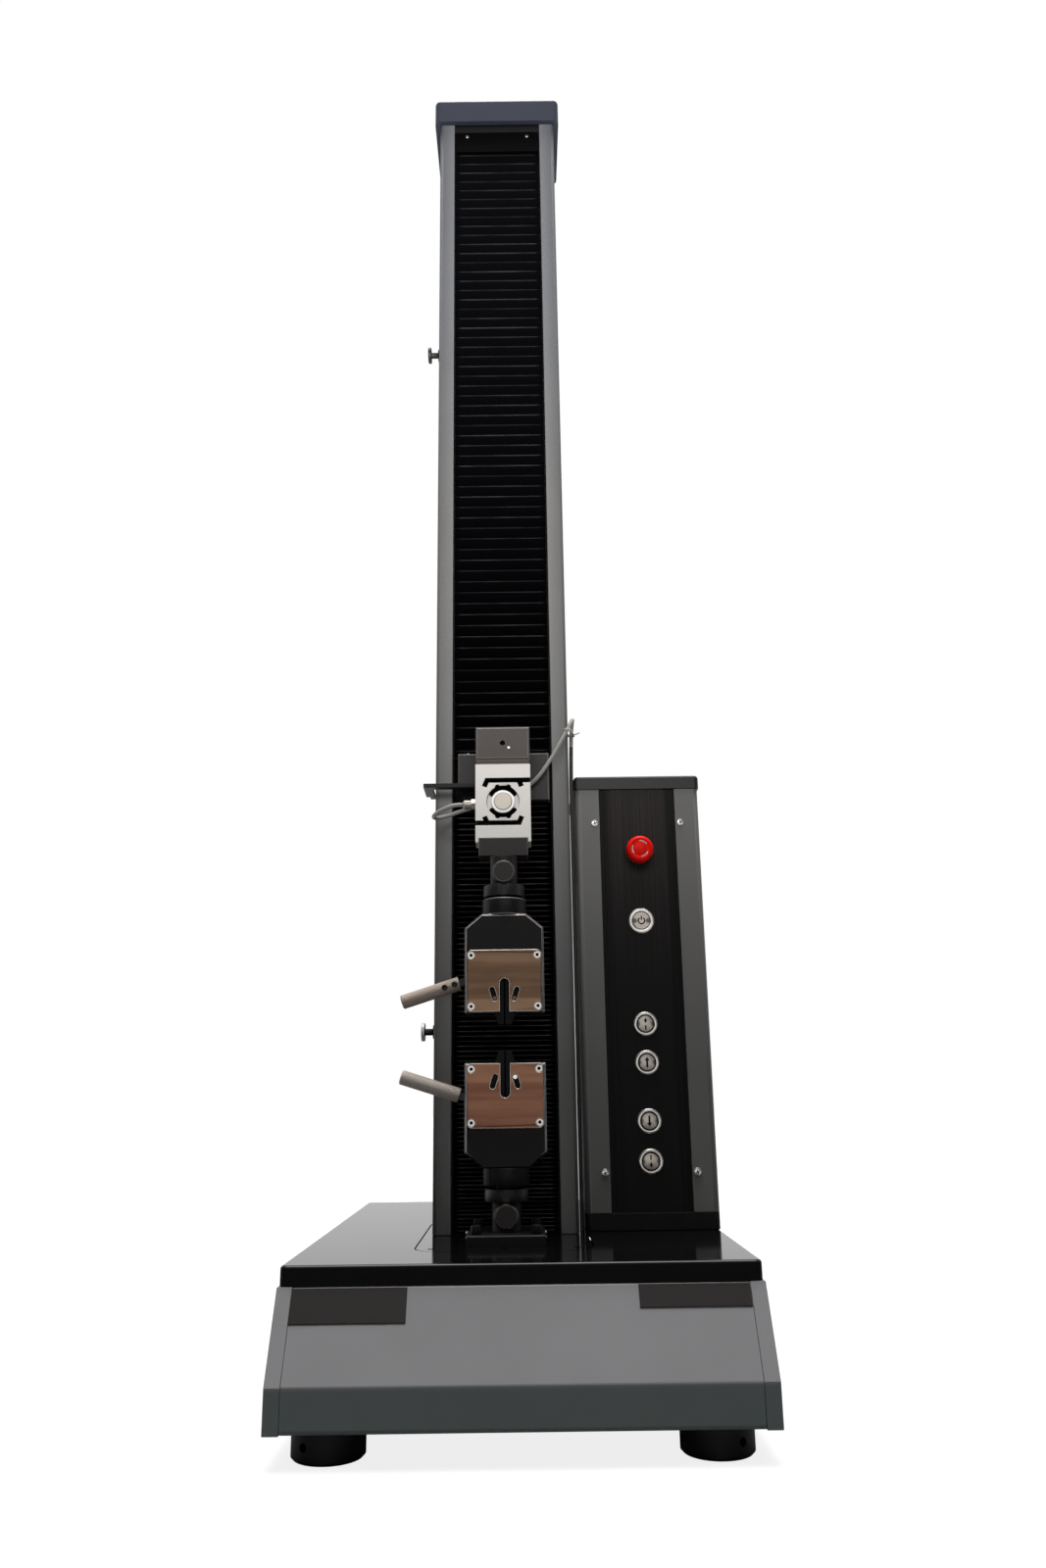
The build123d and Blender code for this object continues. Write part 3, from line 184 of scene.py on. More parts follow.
class Graph:
    """A node tree, of a new material unless it is made from a tree."""

    @classmethod
    def of_tree(cls, tree):
        graph = cls.__new__(cls)
        graph.tree = tree
        tree.nodes.clear()
        return graph

    def __init__(self, name, colour, roughness=0.5, metallic=0.0):
        self.material = bpy.data.materials.new(name)
        self.material.use_nodes = True
        self.tree = self.material.node_tree
        self.shader = self.tree.nodes["Principled BSDF"]
        self.set("Base Color", (*colour, 1.0))
        self.set("Roughness", roughness)
        self.set("Metallic", metallic)
        self.material.diffuse_color = (*colour, 1.0)

    def feed(self, socket, value):
        if isinstance(value, Value):
            self.tree.links.new(value.socket, socket)
        else:
            socket.default_value = value

    def node(self, kind, *inputs, out=0, sockets=None, **settings):
        """A new node's output; inputs fill its sockets in order, and sockets those of a name or number."""
        made = self.tree.nodes.new(kind)
        for key, value in settings.items():
            setattr(made, key, value)
        for place, value in [*enumerate(inputs), *(sockets or {}).items()]:
            if value is not None:
                self.feed(made.inputs[place], value)
        return Value(self, made.outputs[out]) if made.outputs else None

    def set(self, name, value):
        self.feed(self.shader.inputs[name], value)

    def place(self):
        """Object coordinates in millimetres, as a vector and as three numbers."""
        spot = self.node("ShaderNodeTexCoord", out=3)
        scaled = self.node("ShaderNodeVectorMath", spot, (1000.0, 1000.0, 1000.0), operation="MULTIPLY")
        split = self.node("ShaderNodeSeparateXYZ", scaled)
        return scaled, [split.output(axis) for axis in "XYZ"]

    def noise(self, vector, scale, detail):
        return self.node("ShaderNodeTexNoise", vector, None, scale, detail)

    def streaks(self, vector, factors, detail=3.0):
        """Noise that is drawn out along the axes with small factors."""
        drawn = self.node("ShaderNodeVectorMath", vector, factors, operation="MULTIPLY")
        return self.noise(drawn, 1.0, detail)

    def blend(self, factor, first, second):
        """A colour from first to second."""
        first, second = (tone if isinstance(tone, Value) else (*tone, 1.0) for tone in (first, second))
        return self.node("ShaderNodeMix", out=2, sockets={0: factor, 6: first, 7: second}, data_type="RGBA")

    def bump(self, height, strength, distance):
        sockets = {"Strength": strength, "Distance": distance, "Height": height}
        self.set("Normal", self.node("ShaderNodeBump", sockets=sockets))


materials = {}


def tones(colour, spread):
    """A darker and a lighter tone of a colour."""
    return tuple((1 - spread) * c for c in colour), tuple(min(1.0, (1 + spread) * c) for c in colour)


def column_painted_sheen(x, y):
    """Painted light on the stiles: their paint's tone is multiplied by more beside the bellows and by less
    at their outer edge.
    """
    return (x - COLUMN_X).size().soften(52.0, 73.0, 1.2, 0.78)


def tower_painted_highlights(x, y):
    """Painted highlights on the tower's paint: bright lines along its left front edge and the fold beside
    it, and a slightly lighter strip between them, as factors for its tone.
    """
    across = TOWER_X - x
    lines = (across - 61.4).size().below(0.45) * 0.22 + (across - 67.0).size().below(0.6) * 0.3
    return (lines + across.soften(61.0, 62.0, 0.0, 0.06)) * y.below(TOWER_FRONT + 0.2) + 1.0


def paint(name, colour, roughness, grain, below=None, change=(0.0, 1.0), shade=None):
    """Sprayed paint with a fine grain; below is its tone under the heights in change, and shade a
    function of the place across and along that gives what its tone is multiplied by."""
    graph = Graph(name, colour, roughness)
    graph.set("Specular IOR Level", 0.3)
    spot, (x, y, z) = graph.place()
    cloud = graph.noise(spot, 0.02, 3.0)
    tone = graph.blend(cloud, *tones(colour, 0.06))
    if below:
        low = graph.blend(cloud, *tones(below, 0.06))
        tone = graph.blend(z.soften(*change), low, tone)
    if shade:
        tone = graph.node("ShaderNodeVectorMath", tone, None, None, shade(x, y), operation="SCALE")
    graph.set("Base Color", tone)
    fine = graph.noise(spot, 2.2, 2.0)
    graph.set("Roughness", fine * (0.6 * grain) + cloud * grain + (roughness - 0.8 * grain))
    graph.bump(fine, grain, 0.0002)
    return graph.material


def lacquered(name):
    """The cover's black lacquer: glossy on top and dull on the folded edge."""
    graph = Graph(name, (0.003, 0.003, 0.003), 0.1)
    spot, (_, _, z) = graph.place()
    cloud = graph.noise(spot, 0.02, 3.0)
    graph.set("Roughness", cloud * 0.03 + 0.085)
    graph.set("Specular IOR Level", 0.36)
    glossy = Value(graph, graph.shader.outputs[0])
    edge = {"Base Color": (0.002, 0.002, 0.002, 1.0), "Roughness": 0.5, "Specular IOR Level": 0.1}
    dull = graph.node("ShaderNodeBsdfPrincipled", sockets=edge)
    mixed = graph.node("ShaderNodeMixShader", z.soften(DECK - 2.5, DECK - 0.5), dull, glossy)
    graph.feed(graph.tree.nodes["Material Output"].inputs["Surface"], mixed)
    return graph.material


def brushed(name, colour, roughness, along, metallic=1.0, streak=0.12):
    """Brushed metal; along is the brushing's axis."""
    graph = Graph(name, colour, roughness, metallic)
    spot, _ = graph.place()
    factors = [3.0, 3.0, 3.0]
    factors[along] = 0.03
    lines = graph.streaks(spot, factors)
    graph.set("Base Color", graph.blend(lines, *tones(colour, streak)))
    graph.set("Roughness", lines * 0.2 + (roughness - 0.1))
    graph.bump(lines, 0.05, 0.0002)
    return graph.material


def banded_reflections(name, dark, light, edges):
    """Ground cover plate with lighter bands of painted reflection across it; edges are each band's heights
    and strength.
    """
    graph = Graph(name, dark, 0.32, 0.85)
    spot, (_, _, z) = graph.place()
    lines = graph.streaks(spot, (0.03, 3.0, 3.0))
    drift = graph.streaks(spot, (0.012, 0.012, 0.12), 2.0)
    height = z + (drift - 0.5) * 6.0
    band = drift.soften(0.35, 0.65) * 0.35
    # Each listed band adds a painted reflection across the plate.
    for low, high, strength in edges:
        start, end = (height.soften(edge - 1.5, edge + 1.5) for edge in (low, high))
        band = band + (start - end) * strength
    tone = graph.blend(band.least(1.0), dark, light)
    graph.set("Base Color", graph.blend(lines * 0.5, tone, tuple(0.7 * c for c in dark)))
    graph.set("Roughness", lines * 0.2 + 0.26)
    graph.bump(lines, 0.05, 0.0002)
    return graph.material


def machined(name):
    """Load cell aluminium: brushed faces, painted shade in the slots, a painted highlight on the ring round
    the middle disc, and a dark groove line of painted shade.
    """
    graph = Graph(name, (0.8, 0.77, 0.73), 0.45, 0.2)
    spot, (x, y, z) = graph.place()
    lines = graph.streaks(spot, (0.03, 3.0, 3.0))
    across, up = x - AXIS_X, z - CELL_MIDDLE
    radius = (across * across + up * up).power(0.5)
    face = graph.blend(lines, (0.74, 0.71, 0.67), (0.86, 0.83, 0.79))
    # The ring's bright tone round the middle disc is a painted highlight.
    ring = radius.above(8.9) * radius.below(12.0) * y.below(-131.5)
    disc = radius.below(8.9) * y.below(-132.5)
    # Faces inside the slots get painted shade: a near-black tone with no metal.
    wall = y.above(-128.6).most(y.above(-131.4) * radius.above(16.6))
    inside = wall * y.below(-102.3) * across.size().below(28.3) * z.below(608.0) * z.above(525.7)
    tone = graph.blend(ring, face, (0.95, 0.94, 0.92))
    tone = graph.blend(disc, tone, (0.76, 0.68, 0.6))
    # A dark line of painted shade at the groove round the disc
    tone = graph.blend((radius - 9.1).size().below(0.4) * y.below(-131.5), tone, (0.3, 0.26, 0.23))
    graph.set("Base Color", graph.blend(inside, tone, (0.012, 0.011, 0.01)))
    graph.set("Metallic", (1.0 - inside) * 0.2)
    graph.set("Roughness", lines * 0.2 + ring * -0.15 + 0.38)
    graph.bump(lines, 0.05, 0.0002)
    return graph.material


def spun(name, dark, light):
    """A spun disc with a dark fan to both sides, a painted reflection of its spun finish."""
    graph = Graph(name, light, 0.34, 0.7)
    spot, _ = graph.place()
    sweep = graph.node("ShaderNodeAttribute", out=2, attribute_name="sweep")
    fine = graph.noise(spot, 1.5, 2.0)
    # The dark fan to both sides is a painted reflection.
    graph.set("Base Color", graph.blend(sweep.soften(0.78, 0.98), light, dark))
    graph.set("Roughness", fine * 0.12 + 0.28)
    return graph.material


def plain(name, colour, roughness, metallic=0.0, mottle=0.06, shine=0.5):
    """An even finish with a trace of wear in its roughness."""
    graph = Graph(name, colour, roughness, metallic)
    graph.set("Specular IOR Level", shine)
    spot, _ = graph.place()
    cloud = graph.noise(spot, 0.15, 3.0)
    graph.set("Base Color", graph.blend(cloud, tones(colour, mottle)[0], colour))
    graph.set("Roughness", cloud * 0.12 + (roughness - 0.06))
    return graph.material


def knurled(name, colour, tilt, pivot, holes=()):
    """Knurled handle on a dark stem, leaning by tilt, with painted shade in its valleys; holes lie that far
    from the pivot's height and are dark discs of painted shade.
    """
    graph = Graph(name, colour, 0.42, 0.3)
    spot, (x, y, z) = graph.place()
    level, rise = math.cos(tilt), math.sin(tilt)
    along = x * level + z * rise
    across = z * level - x * rise
    pitch, stem, hole = 2.0, 14.8, 2.95
    one, other = along * (2 * math.pi / pitch), across * (2 * math.pi / pitch)
    height = ((one + other).sine() + 1.0) * ((one - other).sine() + 1.0)
    height = height * 0.25
    worn = graph.noise(spot, 0.2, 3.0)
    dark = along.above(LEVER_X * level + pivot * rise - stem)
    # The holes are dark discs of painted shade, not cut.
    for place in holes:
        off_x = x - (LEVER_X - place * level)
        off_z = z - (pivot - place * rise)
        dark = dark.most((off_x * off_x + off_z * off_z).below(hole**2) * y.below(AXIS_Y + 0.5))
    # The knurl's valleys are painted darker: painted shade.
    tone = graph.blend(height.power(0.6), tuple(0.4 * c for c in colour), colour)
    graph.set("Base Color", graph.blend(dark, tone, (0.012, 0.0105, 0.01)))
    graph.set("Roughness", worn * 0.2 + 0.32)
    graph.bump(height * (1.0 - dark), 0.6, 0.0006)
    return graph.material


def knob_steel(name):
    """A limit stop's thumb knob: bright disc on a black shank."""
    bright, shank = (0.7, 0.68, 0.66), (0.008, 0.008, 0.008)
    graph = Graph(name, bright, 0.36, 0.2)
    spot, (x, _, _) = graph.place()
    worn = graph.noise(spot, 0.3, 2.0)
    graph.set("Base Color", graph.blend(x.above(-99.7), bright, shank))
    graph.set("Roughness", worn * 0.15 + 0.28)
    return graph.material


def painted_edge_highlight(name):
    """A grip body's painted edge highlights, bright but for the lower grip's shoulders."""
    dark, bright = (0.02, 0.019, 0.018), (0.48, 0.45, 0.43)
    graph = Graph(name, bright, 0.34, 0.6)
    _, (_, _, z) = graph.place()
    graph.set("Base Color", graph.blend(z.soften(219.0, 227.0), dark, bright))
    return graph.material


def tabbed(name):
    """The trip arm's black bar with a lighter tab under its end."""
    dark, worn = (0.014, 0.0125, 0.0118), (0.13, 0.115, 0.107)
    graph = Graph(name, dark, 0.5)
    graph.set("Specular IOR Level", 0.2)
    _, (x, _, z) = graph.place()
    # The tab under the bar's end has a lighter tone than the bar.
    graph.set("Base Color", graph.blend(x.below(-88.0) * z.below(594.8), dark, worn))
    return graph.material


def cloth(name):
    """Coated bellows cloth with painted highlights along its crease lines, paler low down and fading
    towards its sides; its dark tone is deeper near the top.
    """
    graph = Graph(name, (0.003, 0.003, 0.004), 0.6)
    graph.set("Specular IOR Level", 0.06)
    crease = graph.node("ShaderNodeAttribute", out=2, attribute_name="crease")
    spot, (x, _, z) = graph.place()
    # Streaks that vary the creases' painted highlight
    wear = graph.streaks(spot, (0.03, 0.05, 0.3), 2.0).soften(0.3, 0.7, 0.35, 1.0)
    side = (x - COLUMN_X).size().soften(45.0, 50.0, 1.0, 0.0)
    # The crease lines' tone is a painted highlight, paler below 500 mm than above 750 mm.
    line = graph.blend(z.soften(500.0, 750.0), (0.16, 0.155, 0.15), (0.07, 0.07, 0.078))
    dark = graph.blend(z.soften(1420.0, 1450.0), (0.003, 0.003, 0.004), (0.0015, 0.0015, 0.002))
    graph.set("Base Color", graph.blend(crease * wear * side, dark, line))
    return graph.material


def extruded(name):
    """Black profile panel: fine vertical die lines whose painted sheen fades lower down, darker outside its
    two inner grooves.
    """
    graph = Graph(name, (0.006, 0.0055, 0.0052), 0.42, 0.1)
    graph.set("Specular IOR Level", 0.12)
    spot, (x, _, z) = graph.place()
    lines = graph.streaks(spot, (0.8, 0.8, 0.004), 2.0)
    outside = (x - TOWER_X).size().soften(31.0, 33.0)
    # The die lines' sheen is painted light that fades below 600 mm, as the lamp's light does.
    streaks = lines.soften(0.3, 0.7, 0.2, 1.0) * z.soften(330.0, 600.0, 0.05, 1.0)
    middle = graph.blend(streaks, (0.0045, 0.0042, 0.004), (0.032, 0.0265, 0.025))
    graph.set("Base Color", graph.blend(outside, middle, (0.003, 0.003, 0.0028)))
    graph.set("Roughness", lines * 0.25 + 0.34)
    graph.bump(lines, 0.15, 0.0004)
    return graph.material


# Heights and strengths of the painted reflection bands on the two grip covers
UPPER_REFLECTION_BANDS = ((355.0, 367.0, 0.9), (404.0, 415.0, 0.3))
LOWER_REFLECTION_BANDS = ((288.0, 306.0, 0.5), (258.0, 272.0, 0.25))


def make_materials(settings):
    """Every finish of the machine, under the names that NODE_FINISH and the pieces use."""
    grain = settings.grain
    column_low, base_band_painted_shade = (0.19, 0.186, 0.182), (0.135, 0.158, 0.156)
    materials.update({
        # The tower's paint carries painted highlights along its left front edge and the fold beside it.
        "grey": paint("grey_paint", settings.tower, 0.45, grain, shade=tower_painted_highlights),
        # The column's stiles get painted light: paler beside the bellows, darker at their outer edge.
        "column": paint(
            "column_grey", settings.column, 0.45, grain, column_low, (900.0, 1300.0), column_painted_sheen
        ),
        # Below the slope's edge the base's paint is darker and cyan: painted shade on the upright band,
        # tinted like light thrown up from the floor.
        "base": paint("base_grey", settings.base, 0.45, grain, base_band_painted_shade, (56.0, 60.0)),
        "black": paint("cap_black", settings.cap, 0.42, grain),
        "tower_black": paint("tower_black", (0.016, 0.0145, 0.0135), 0.45, grain),
        "deck": lacquered("deck_lacquer"),
        "steel": brushed("ground_steel", (0.45, 0.45, 0.46), 0.4, 2),
        "upper_cover": banded_reflections("upper_cover_steel", (0.135, 0.077, 0.046), (0.31, 0.19, 0.118), UPPER_REFLECTION_BANDS),
        "lower_cover": banded_reflections("lower_cover_steel", (0.2, 0.085, 0.051), (0.37, 0.195, 0.12), LOWER_REFLECTION_BANDS),
        # The covers' rounded edges carry a painted highlight.
        "cover_edge_highlight": plain("cover_edge_highlight", (0.95, 0.88, 0.8), 0.3, 0.6),
        "cell": machined("cell_aluminium"),
        "bright": brushed("bright_steel", (0.8, 0.76, 0.71), 0.36, 0, metallic=0.2, streak=0.08),
        "chrome": plain("nickel", (0.36, 0.33, 0.29), 0.3, 0.7),
        "oxide": plain("black_oxide", (0.009, 0.0085, 0.0085), 0.42, shine=0.15),
        "ring": plain("ring_black", (0.012, 0.011, 0.011), 0.4, shine=0.3),
        # Painted highlight for the grip bodies' rounded edges
        "oxide_highlight": painted_edge_highlight("painted_oxide_edge_highlight"),
        "flange": plain("flange_black", (0.004, 0.004, 0.004), 0.5, shine=0.15),
        "screw": plain("screw_steel", (0.96, 0.93, 0.89), 0.28, 0.85),
        "bezel": plain("bezel_steel", (0.74, 0.7, 0.66), 0.26, 0.85),
        "pin": plain("bronze_pin", (0.17, 0.085, 0.045), 0.4, 0.8),
        "knob": knob_steel("knob_steel"),
        "dark_knob": plain("dark_knob_steel", (0.05, 0.048, 0.047), 0.4, 0.3),
        # Painted highlights for the rounded edges of the cell holder and the anodised parts
        "holder_highlight": plain("painted_holder_edge_highlight", (0.24, 0.215, 0.2), 0.4, 0.3),
        "anodised_highlight": plain("painted_anodised_edge_highlight", (0.16, 0.145, 0.14), 0.4, 0.3),
        "jaw": plain("jaw_black", (0.005, 0.005, 0.005), 0.5, shine=0.15),
        "anodised": plain("dark_anodised", (0.025, 0.022, 0.021), 0.45, 0.1, shine=0.25),
        "arm": tabbed("arm_black"),
        "holder": plain("holder_anodised", (0.08, 0.068, 0.063), 0.5, 0.2, shine=0.3),
        "panel": extruded("profile_black"),
        "rubber": plain("foot_rubber", (0.003, 0.0033, 0.0036), 0.5, shine=0.25),
        "plastic": plain("black_plastic", (0.004, 0.004, 0.004), 0.5, shine=0.2),
        "red": plain("stop_red", settings.stop, 0.4, shine=0.12),
        "white": plain("mark_white", (0.75, 0.7, 0.68), 0.5),
        # Dark for the buttons' printed signs, and painted shade in the screws' sockets and recesses
        "mark": plain("dark_print_and_recess_shade", (0.006, 0.005, 0.0045), 0.5, shine=0.1),
        "disc": spun("button_disc", (0.14, 0.115, 0.1), (0.58, 0.52, 0.46)),
        "sheath": plain("cable_sheath", (0.34, 0.325, 0.305), 0.45),
        "drop": plain("cable_drop_sheath", (0.045, 0.043, 0.041), 0.5),
        "tie": plain("cable_tie", (0.6, 0.58, 0.55), 0.5),
        "plate": plain("name_plate", (0.016, 0.0125, 0.012), 0.5, shine=0.25),
        "cloth": cloth("bellows_cloth"),
        "upper_knurl": knurled("upper_knurl", (0.68, 0.55, 0.45), LEVER_TILT, 389.0, (19.8, 30.0)),
        "lower_knurl": knurled("lower_knurl", (0.84, 0.73, 0.64), -LEVER_TILT, 272.0),
    })


def both(name):
    """The names of the upper and the lower node of a pair."""
    return [f"upper_{name}", f"lower_{name}"]


NODE_FINISH = {
    "grey": ["tower_shell"],
    "column": ["column_shell"],
    "base": ["front_panel", "left_cheek", "right_cheek", "rear_panel"],
    "black": ["column_cap"],
    "tower_black": ["tower_cap", "screw_bearings"],
    "deck": ["base_cover", "base_frame"],
    "steel": ["guide_rails", "ball_screw"],
    "oxide": both("grip_body"),
    "ring": both("lock_ring"),
    "flange": [
        "lower_socket", "socket_screws", *both("limit_stop"), "drive_motor", "carriage", "tower_plinth",
    ],
    "jaw": both("left_jaw") + both("right_jaw"),
    "upper_cover": ["upper_grip_cover"],
    "lower_cover": ["lower_grip_cover"],
    "upper_knurl": ["upper_lever"],
    "lower_knurl": ["lower_lever"],
    "dark_knob": ["upper_limit_knob"],
    "knob": ["lower_limit_knob"],
    "bezel": ["button_bezels"],
    "chrome": ["cell_gland"],
    "cell": ["load_cell"],
    "anodised": ["carriage_plate", "upper_socket", *both("clevis_pin")],
    "arm": ["trip_arm"],
    "holder": ["cell_holder"],
    "panel": ["tower_panel"],
    "rubber": ["front_left_foot", "front_right_foot", "rear_left_foot", "rear_right_foot"],
    "plastic": [
        "mains_inlet", "stop_button_stem", "power_button", "fast_up_button", "up_button", "down_button",
        "fast_down_button",
    ],
    "red": ["stop_button_head"],
    "sheath": ["cell_cable"],
    "drop": ["cable_drop"],
    "cloth": ["bellows_upper", "bellows_lower"],
}
NODE_EDGES = {
    0.25: both("lock_ring"),
    0.35: ["load_cell"],
    0.4: ["carriage_plate", "cell_holder", "socket_screws", *both("clevis_pin")],
    0.45: both("grip_body") + both("grip_cover"),
    0.5: ["front_panel", "tower_shell", *both("socket"), *both("limit_knob")],
    0.6: ["trip_arm"],
    0.8: ["column_shell", "tower_plinth"],
}
# The painted highlight that the rounded edges of each finish take
EDGE_HIGHLIGHT = {
    "oxide": "oxide_highlight", "upper_cover": "cover_edge_highlight", "lower_cover": "cover_edge_highlight",
    "holder": "holder_highlight", "anodised": "anodised_highlight",
}


def finish_piece(bm, name, finish, body, smooth=True):
    """Turn a bmesh into a piece that moves with a body."""
    bmesh.ops.recalc_face_normals(bm, faces=bm.faces)
    mesh = bpy.data.meshes.new(name)
    bm.to_mesh(mesh)
    bm.free()
    if smooth:
        for polygon in mesh.polygons:
            polygon.use_smooth = True
        mesh.set_sharp_from_angle(angle=math.radians(32))
    mesh.materials.append(materials[finish])
    piece = bpy.data.objects.new(name, mesh)
    bpy.context.scene.collection.objects.link(piece)
    if body:
        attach(piece, body)
    return piece


def settle(bm, spot, turn):
    """Turn a piece that was built in millimetres, and move it to spot."""
    move = Matrix.Translation(Vector(spot) * MM) @ turn @ Matrix.Scale(MM, 4)
    bmesh.ops.transform(bm, matrix=move, verts=bm.verts)


def aim(bm, spot, axis, spin=0.0):
    """Point a piece that was built along +Z along axis, and move it to spot."""
    turn = Vector(UPWARD).rotation_difference(Vector(axis)).to_matrix().to_4x4()
    settle(bm, spot, turn @ Matrix.Rotation(spin, 4, "Z"))


def turned(profile, more=0):
    """A turned shape from a profile of (radius, height) points; more adds to the faces round it."""
    steps = bpy.context.scene.machine_fitting.segments + more
    bm = bmesh.new()
    verts = [bm.verts.new((radius, 0, height)) for radius, height in profile]
    edges = [bm.edges.new(pair) for pair in zip(verts, verts[1:])]
    bmesh.ops.spin(
        bm, geom=verts + edges, cent=(0, 0, 0), axis=UPWARD, angle=2 * math.pi, steps=steps, use_merge=True
    )
    bmesh.ops.remove_doubles(bm, verts=bm.verts, dist=1e-5)
    return bm


def kept(geometry, kind):
    """The vertices, edges or faces among an operator's results."""
    return [item for item in geometry if isinstance(item, kind)]


def fan(bm):
    """Mark how far each vertex of a turned disc lies to the side, for the spun finish's painted dark fan.
    """
    layer = bm.verts.layers.float.new("sweep")
    for vert in bm.verts:
        reach = vert.co.x**2 + vert.co.y**2
        vert[layer] = vert.co.x**2 / reach if reach > 1e-6 else 0.5


def cut_out(outlines, height, low=0.0):
    """Flat shapes of given outlines, raised to a height."""
    bm = bmesh.new()
    for outline in outlines:
        face = bm.faces.new([bm.verts.new((x, y, low)) for x, y in outline])
        raised = bmesh.ops.extrude_face_region(bm, geom=[face])["geom"]
        bmesh.ops.translate(bm, vec=(0, 0, height), verts=kept(raised, bmesh.types.BMVert))
    return bm


def polar(radius, degrees):
    """A point at a radius and an angle."""
    turn = math.radians(degrees)
    return radius * math.cos(turn), radius * math.sin(turn)


def arc_band(inner, outer, start, end, steps=14):
    """Outline of a piece of a ring, from start to end in degrees."""
    turns = [start + (end - start) * i / steps for i in range(steps + 1)]
    return [polar(outer, turn) for turn in turns] + [polar(inner, turn) for turn in reversed(turns)]


def bar(half, low, high):
    """Outline of an upright bar that reaches half to each side."""
    return [(-half, low), (half, low), (half, high), (-half, high)]


def block(size, edge):
    """A box of given size in millimetres with rounded edges, centred on its base."""
    bm = bmesh.new()
    bmesh.ops.create_cube(bm, size=1.0)
    bmesh.ops.scale(bm, vec=size, verts=bm.verts)
    bmesh.ops.translate(bm, vec=(0, 0, size[2] / 2), verts=bm.verts)
    bmesh.ops.bevel(
        bm, geom=bm.edges[:], offset=edge, segments=2, profile=0.5, affect="EDGES", material=-1,
        clamp_overlap=True,
    )
    return bm


def cord_along(name, route, resolution):
    """A round cord along a route, as a curve."""
    curve = bpy.data.curves.new(name, "CURVE")
    curve.dimensions = "3D"
    curve.bevel_depth = CABLE_RADIUS * MM
    curve.bevel_resolution = resolution
    curve.use_fill_caps = True
    spline = curve.splines.new("NURBS")
    spline.points.add(len(route) - 1)
    for point, spot in zip(spline.points, route):
        point.co = (*(Vector(spot) * MM), 1.0)
    spline.order_u = 3
    spline.use_endpoint_u = True
    spline.resolution_u = 8
    cord = bpy.data.objects.new(name, curve)
    bpy.context.scene.collection.objects.link(cord)
    return cord


class MACHINE_OT_finishes(bpy.types.Operator):
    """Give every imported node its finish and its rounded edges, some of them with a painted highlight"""

    bl_idname = "machine.finishes"
    bl_label = "Finishes of the modelled pieces"

    def execute(self, context):
        settings = context.scene.machine_finish
        make_materials(settings)
        for finish, names in NODE_FINISH.items():
            for name in names:
                node = nodes[name]
                node.data.materials.clear()
                node.data.materials.append(materials[finish])
                if finish in EDGE_HIGHLIGHT:
                    node.data.materials.append(materials[EDGE_HIGHLIGHT[finish]])
        for width, names in NODE_EDGES.items():
            for name in names:
                self.round_edges(nodes[name], width * MM * settings.edge)
        return {"FINISHED"}

    def round_edges(self, node, width):
        """Weld a node's faces and round the edges between them, in its painted edge highlight if it has
        one.
        """
        weld = node.modifiers.new("weld", "WELD")
        weld.merge_threshold = 1e-5
        bevel = node.modifiers.new("edge", "BEVEL")
        bevel.width = width
        bevel.segments = 2
        bevel.limit_method = "ANGLE"
        bevel.angle_limit = math.radians(40)
        bevel.harden_normals = True
        bevel.use_clamp_overlap = False
        if len(node.data.materials) > 1:
            bevel.material = 1


class MACHINE_OT_bellows(bpy.types.Operator):
    """Fold the cloths that close the column's front, and set the strips beside them"""

    bl_idname = "machine.bellows"
    bl_label = "Pleated bellows"

    def execute(self, context):
        settings = context.scene.machine_bellows
        crease = settings.crease / MM
        self.pleat("upper", NECK_TOP, BELLOWS_TOP, settings.upper_pleats, 1.0, crease, 30.0)
        self.pleat("lower", DECK, NECK_BOTTOM, settings.lower_pleats, 1.7, crease, 2.0)
        for side_name, side in (("left", -1), ("right", 1)):
            bm = block((0.8, 13.0, BELLOWS_TOP - DECK - 2.0), 0.2)
            aim(bm, (COLUMN_X + side * 53.3, -58.0, DECK + 1.0), UPWARD)
            finish_piece(bm, f"bellows_guide_{side_name}", "flange", "frame", smooth=False)
        return {"FINISHED"}

    def pleat(self, place, low, high, pleats, growth, crease, plate):
        """One pleated sheet under a flat plate; growth is the top pleat's pitch over the bottom one's."""
        weights = [1 + (growth - 1) * i / (pleats - 1) for i in range(pleats)]
        base = low + 2.0
        unit = (high - base - plate) / sum(weights)
        front, back = BELLOWS_FRONT, BELLOWS_BACK
        foot, face = back + 1.5, front + 1.0
        rows = [(foot, low, 0.0), (face, low, 0.0), (face, base, 0.0), (back, base, 0.0)]
        for place_up, weight in enumerate(weights):
            pitch = unit * weight
            half = min(crease / 2, 0.1 * pitch)
            # How strongly each crease's painted highlight shows
            light = 0.65 + 0.35 * math.sin(2.4 * place_up * place_up)
            middle = base + pitch / 2
            shoulder = min(2.5 * half, 0.3 * pitch)
            slope = (front - back) / (pitch / 2)
            lift = (pitch / 2 - shoulder) * slope
            rows.append((back + lift, middle - shoulder, 0.0))
            rows.append((front, middle - half, light))
            rows.append((front, middle + half, light))
            rows.append((back + lift, middle + shoulder, 0.0))
            rows.append((back, base + pitch, 0.0))
            base += pitch
        rows += [(face, high - plate, 0.0), (face, high, 0.0), (foot, high, 0.0)]
        bm = bmesh.new()
        layer = bm.verts.layers.float.new("crease")
        line = []
        for y, z, light in rows:
            line.append(bm.verts.new(((COLUMN_X - BELLOWS_WIDTH / 2) * MM, y * MM, z * MM)))
            line[-1][layer] = light
        edges = [bm.edges.new(pair) for pair in zip(line, line[1:])]
        swept = bmesh.ops.extrude_edge_only(bm, edges=edges)["geom"]
        bmesh.ops.translate(bm, vec=(BELLOWS_WIDTH * MM, 0, 0), verts=kept(swept, bmesh.types.BMVert))
        piece = finish_piece(bm, f"{place}_bellows_cloth", "cloth", None, smooth=False)
        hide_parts(f"bellows_{place}")
        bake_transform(piece)


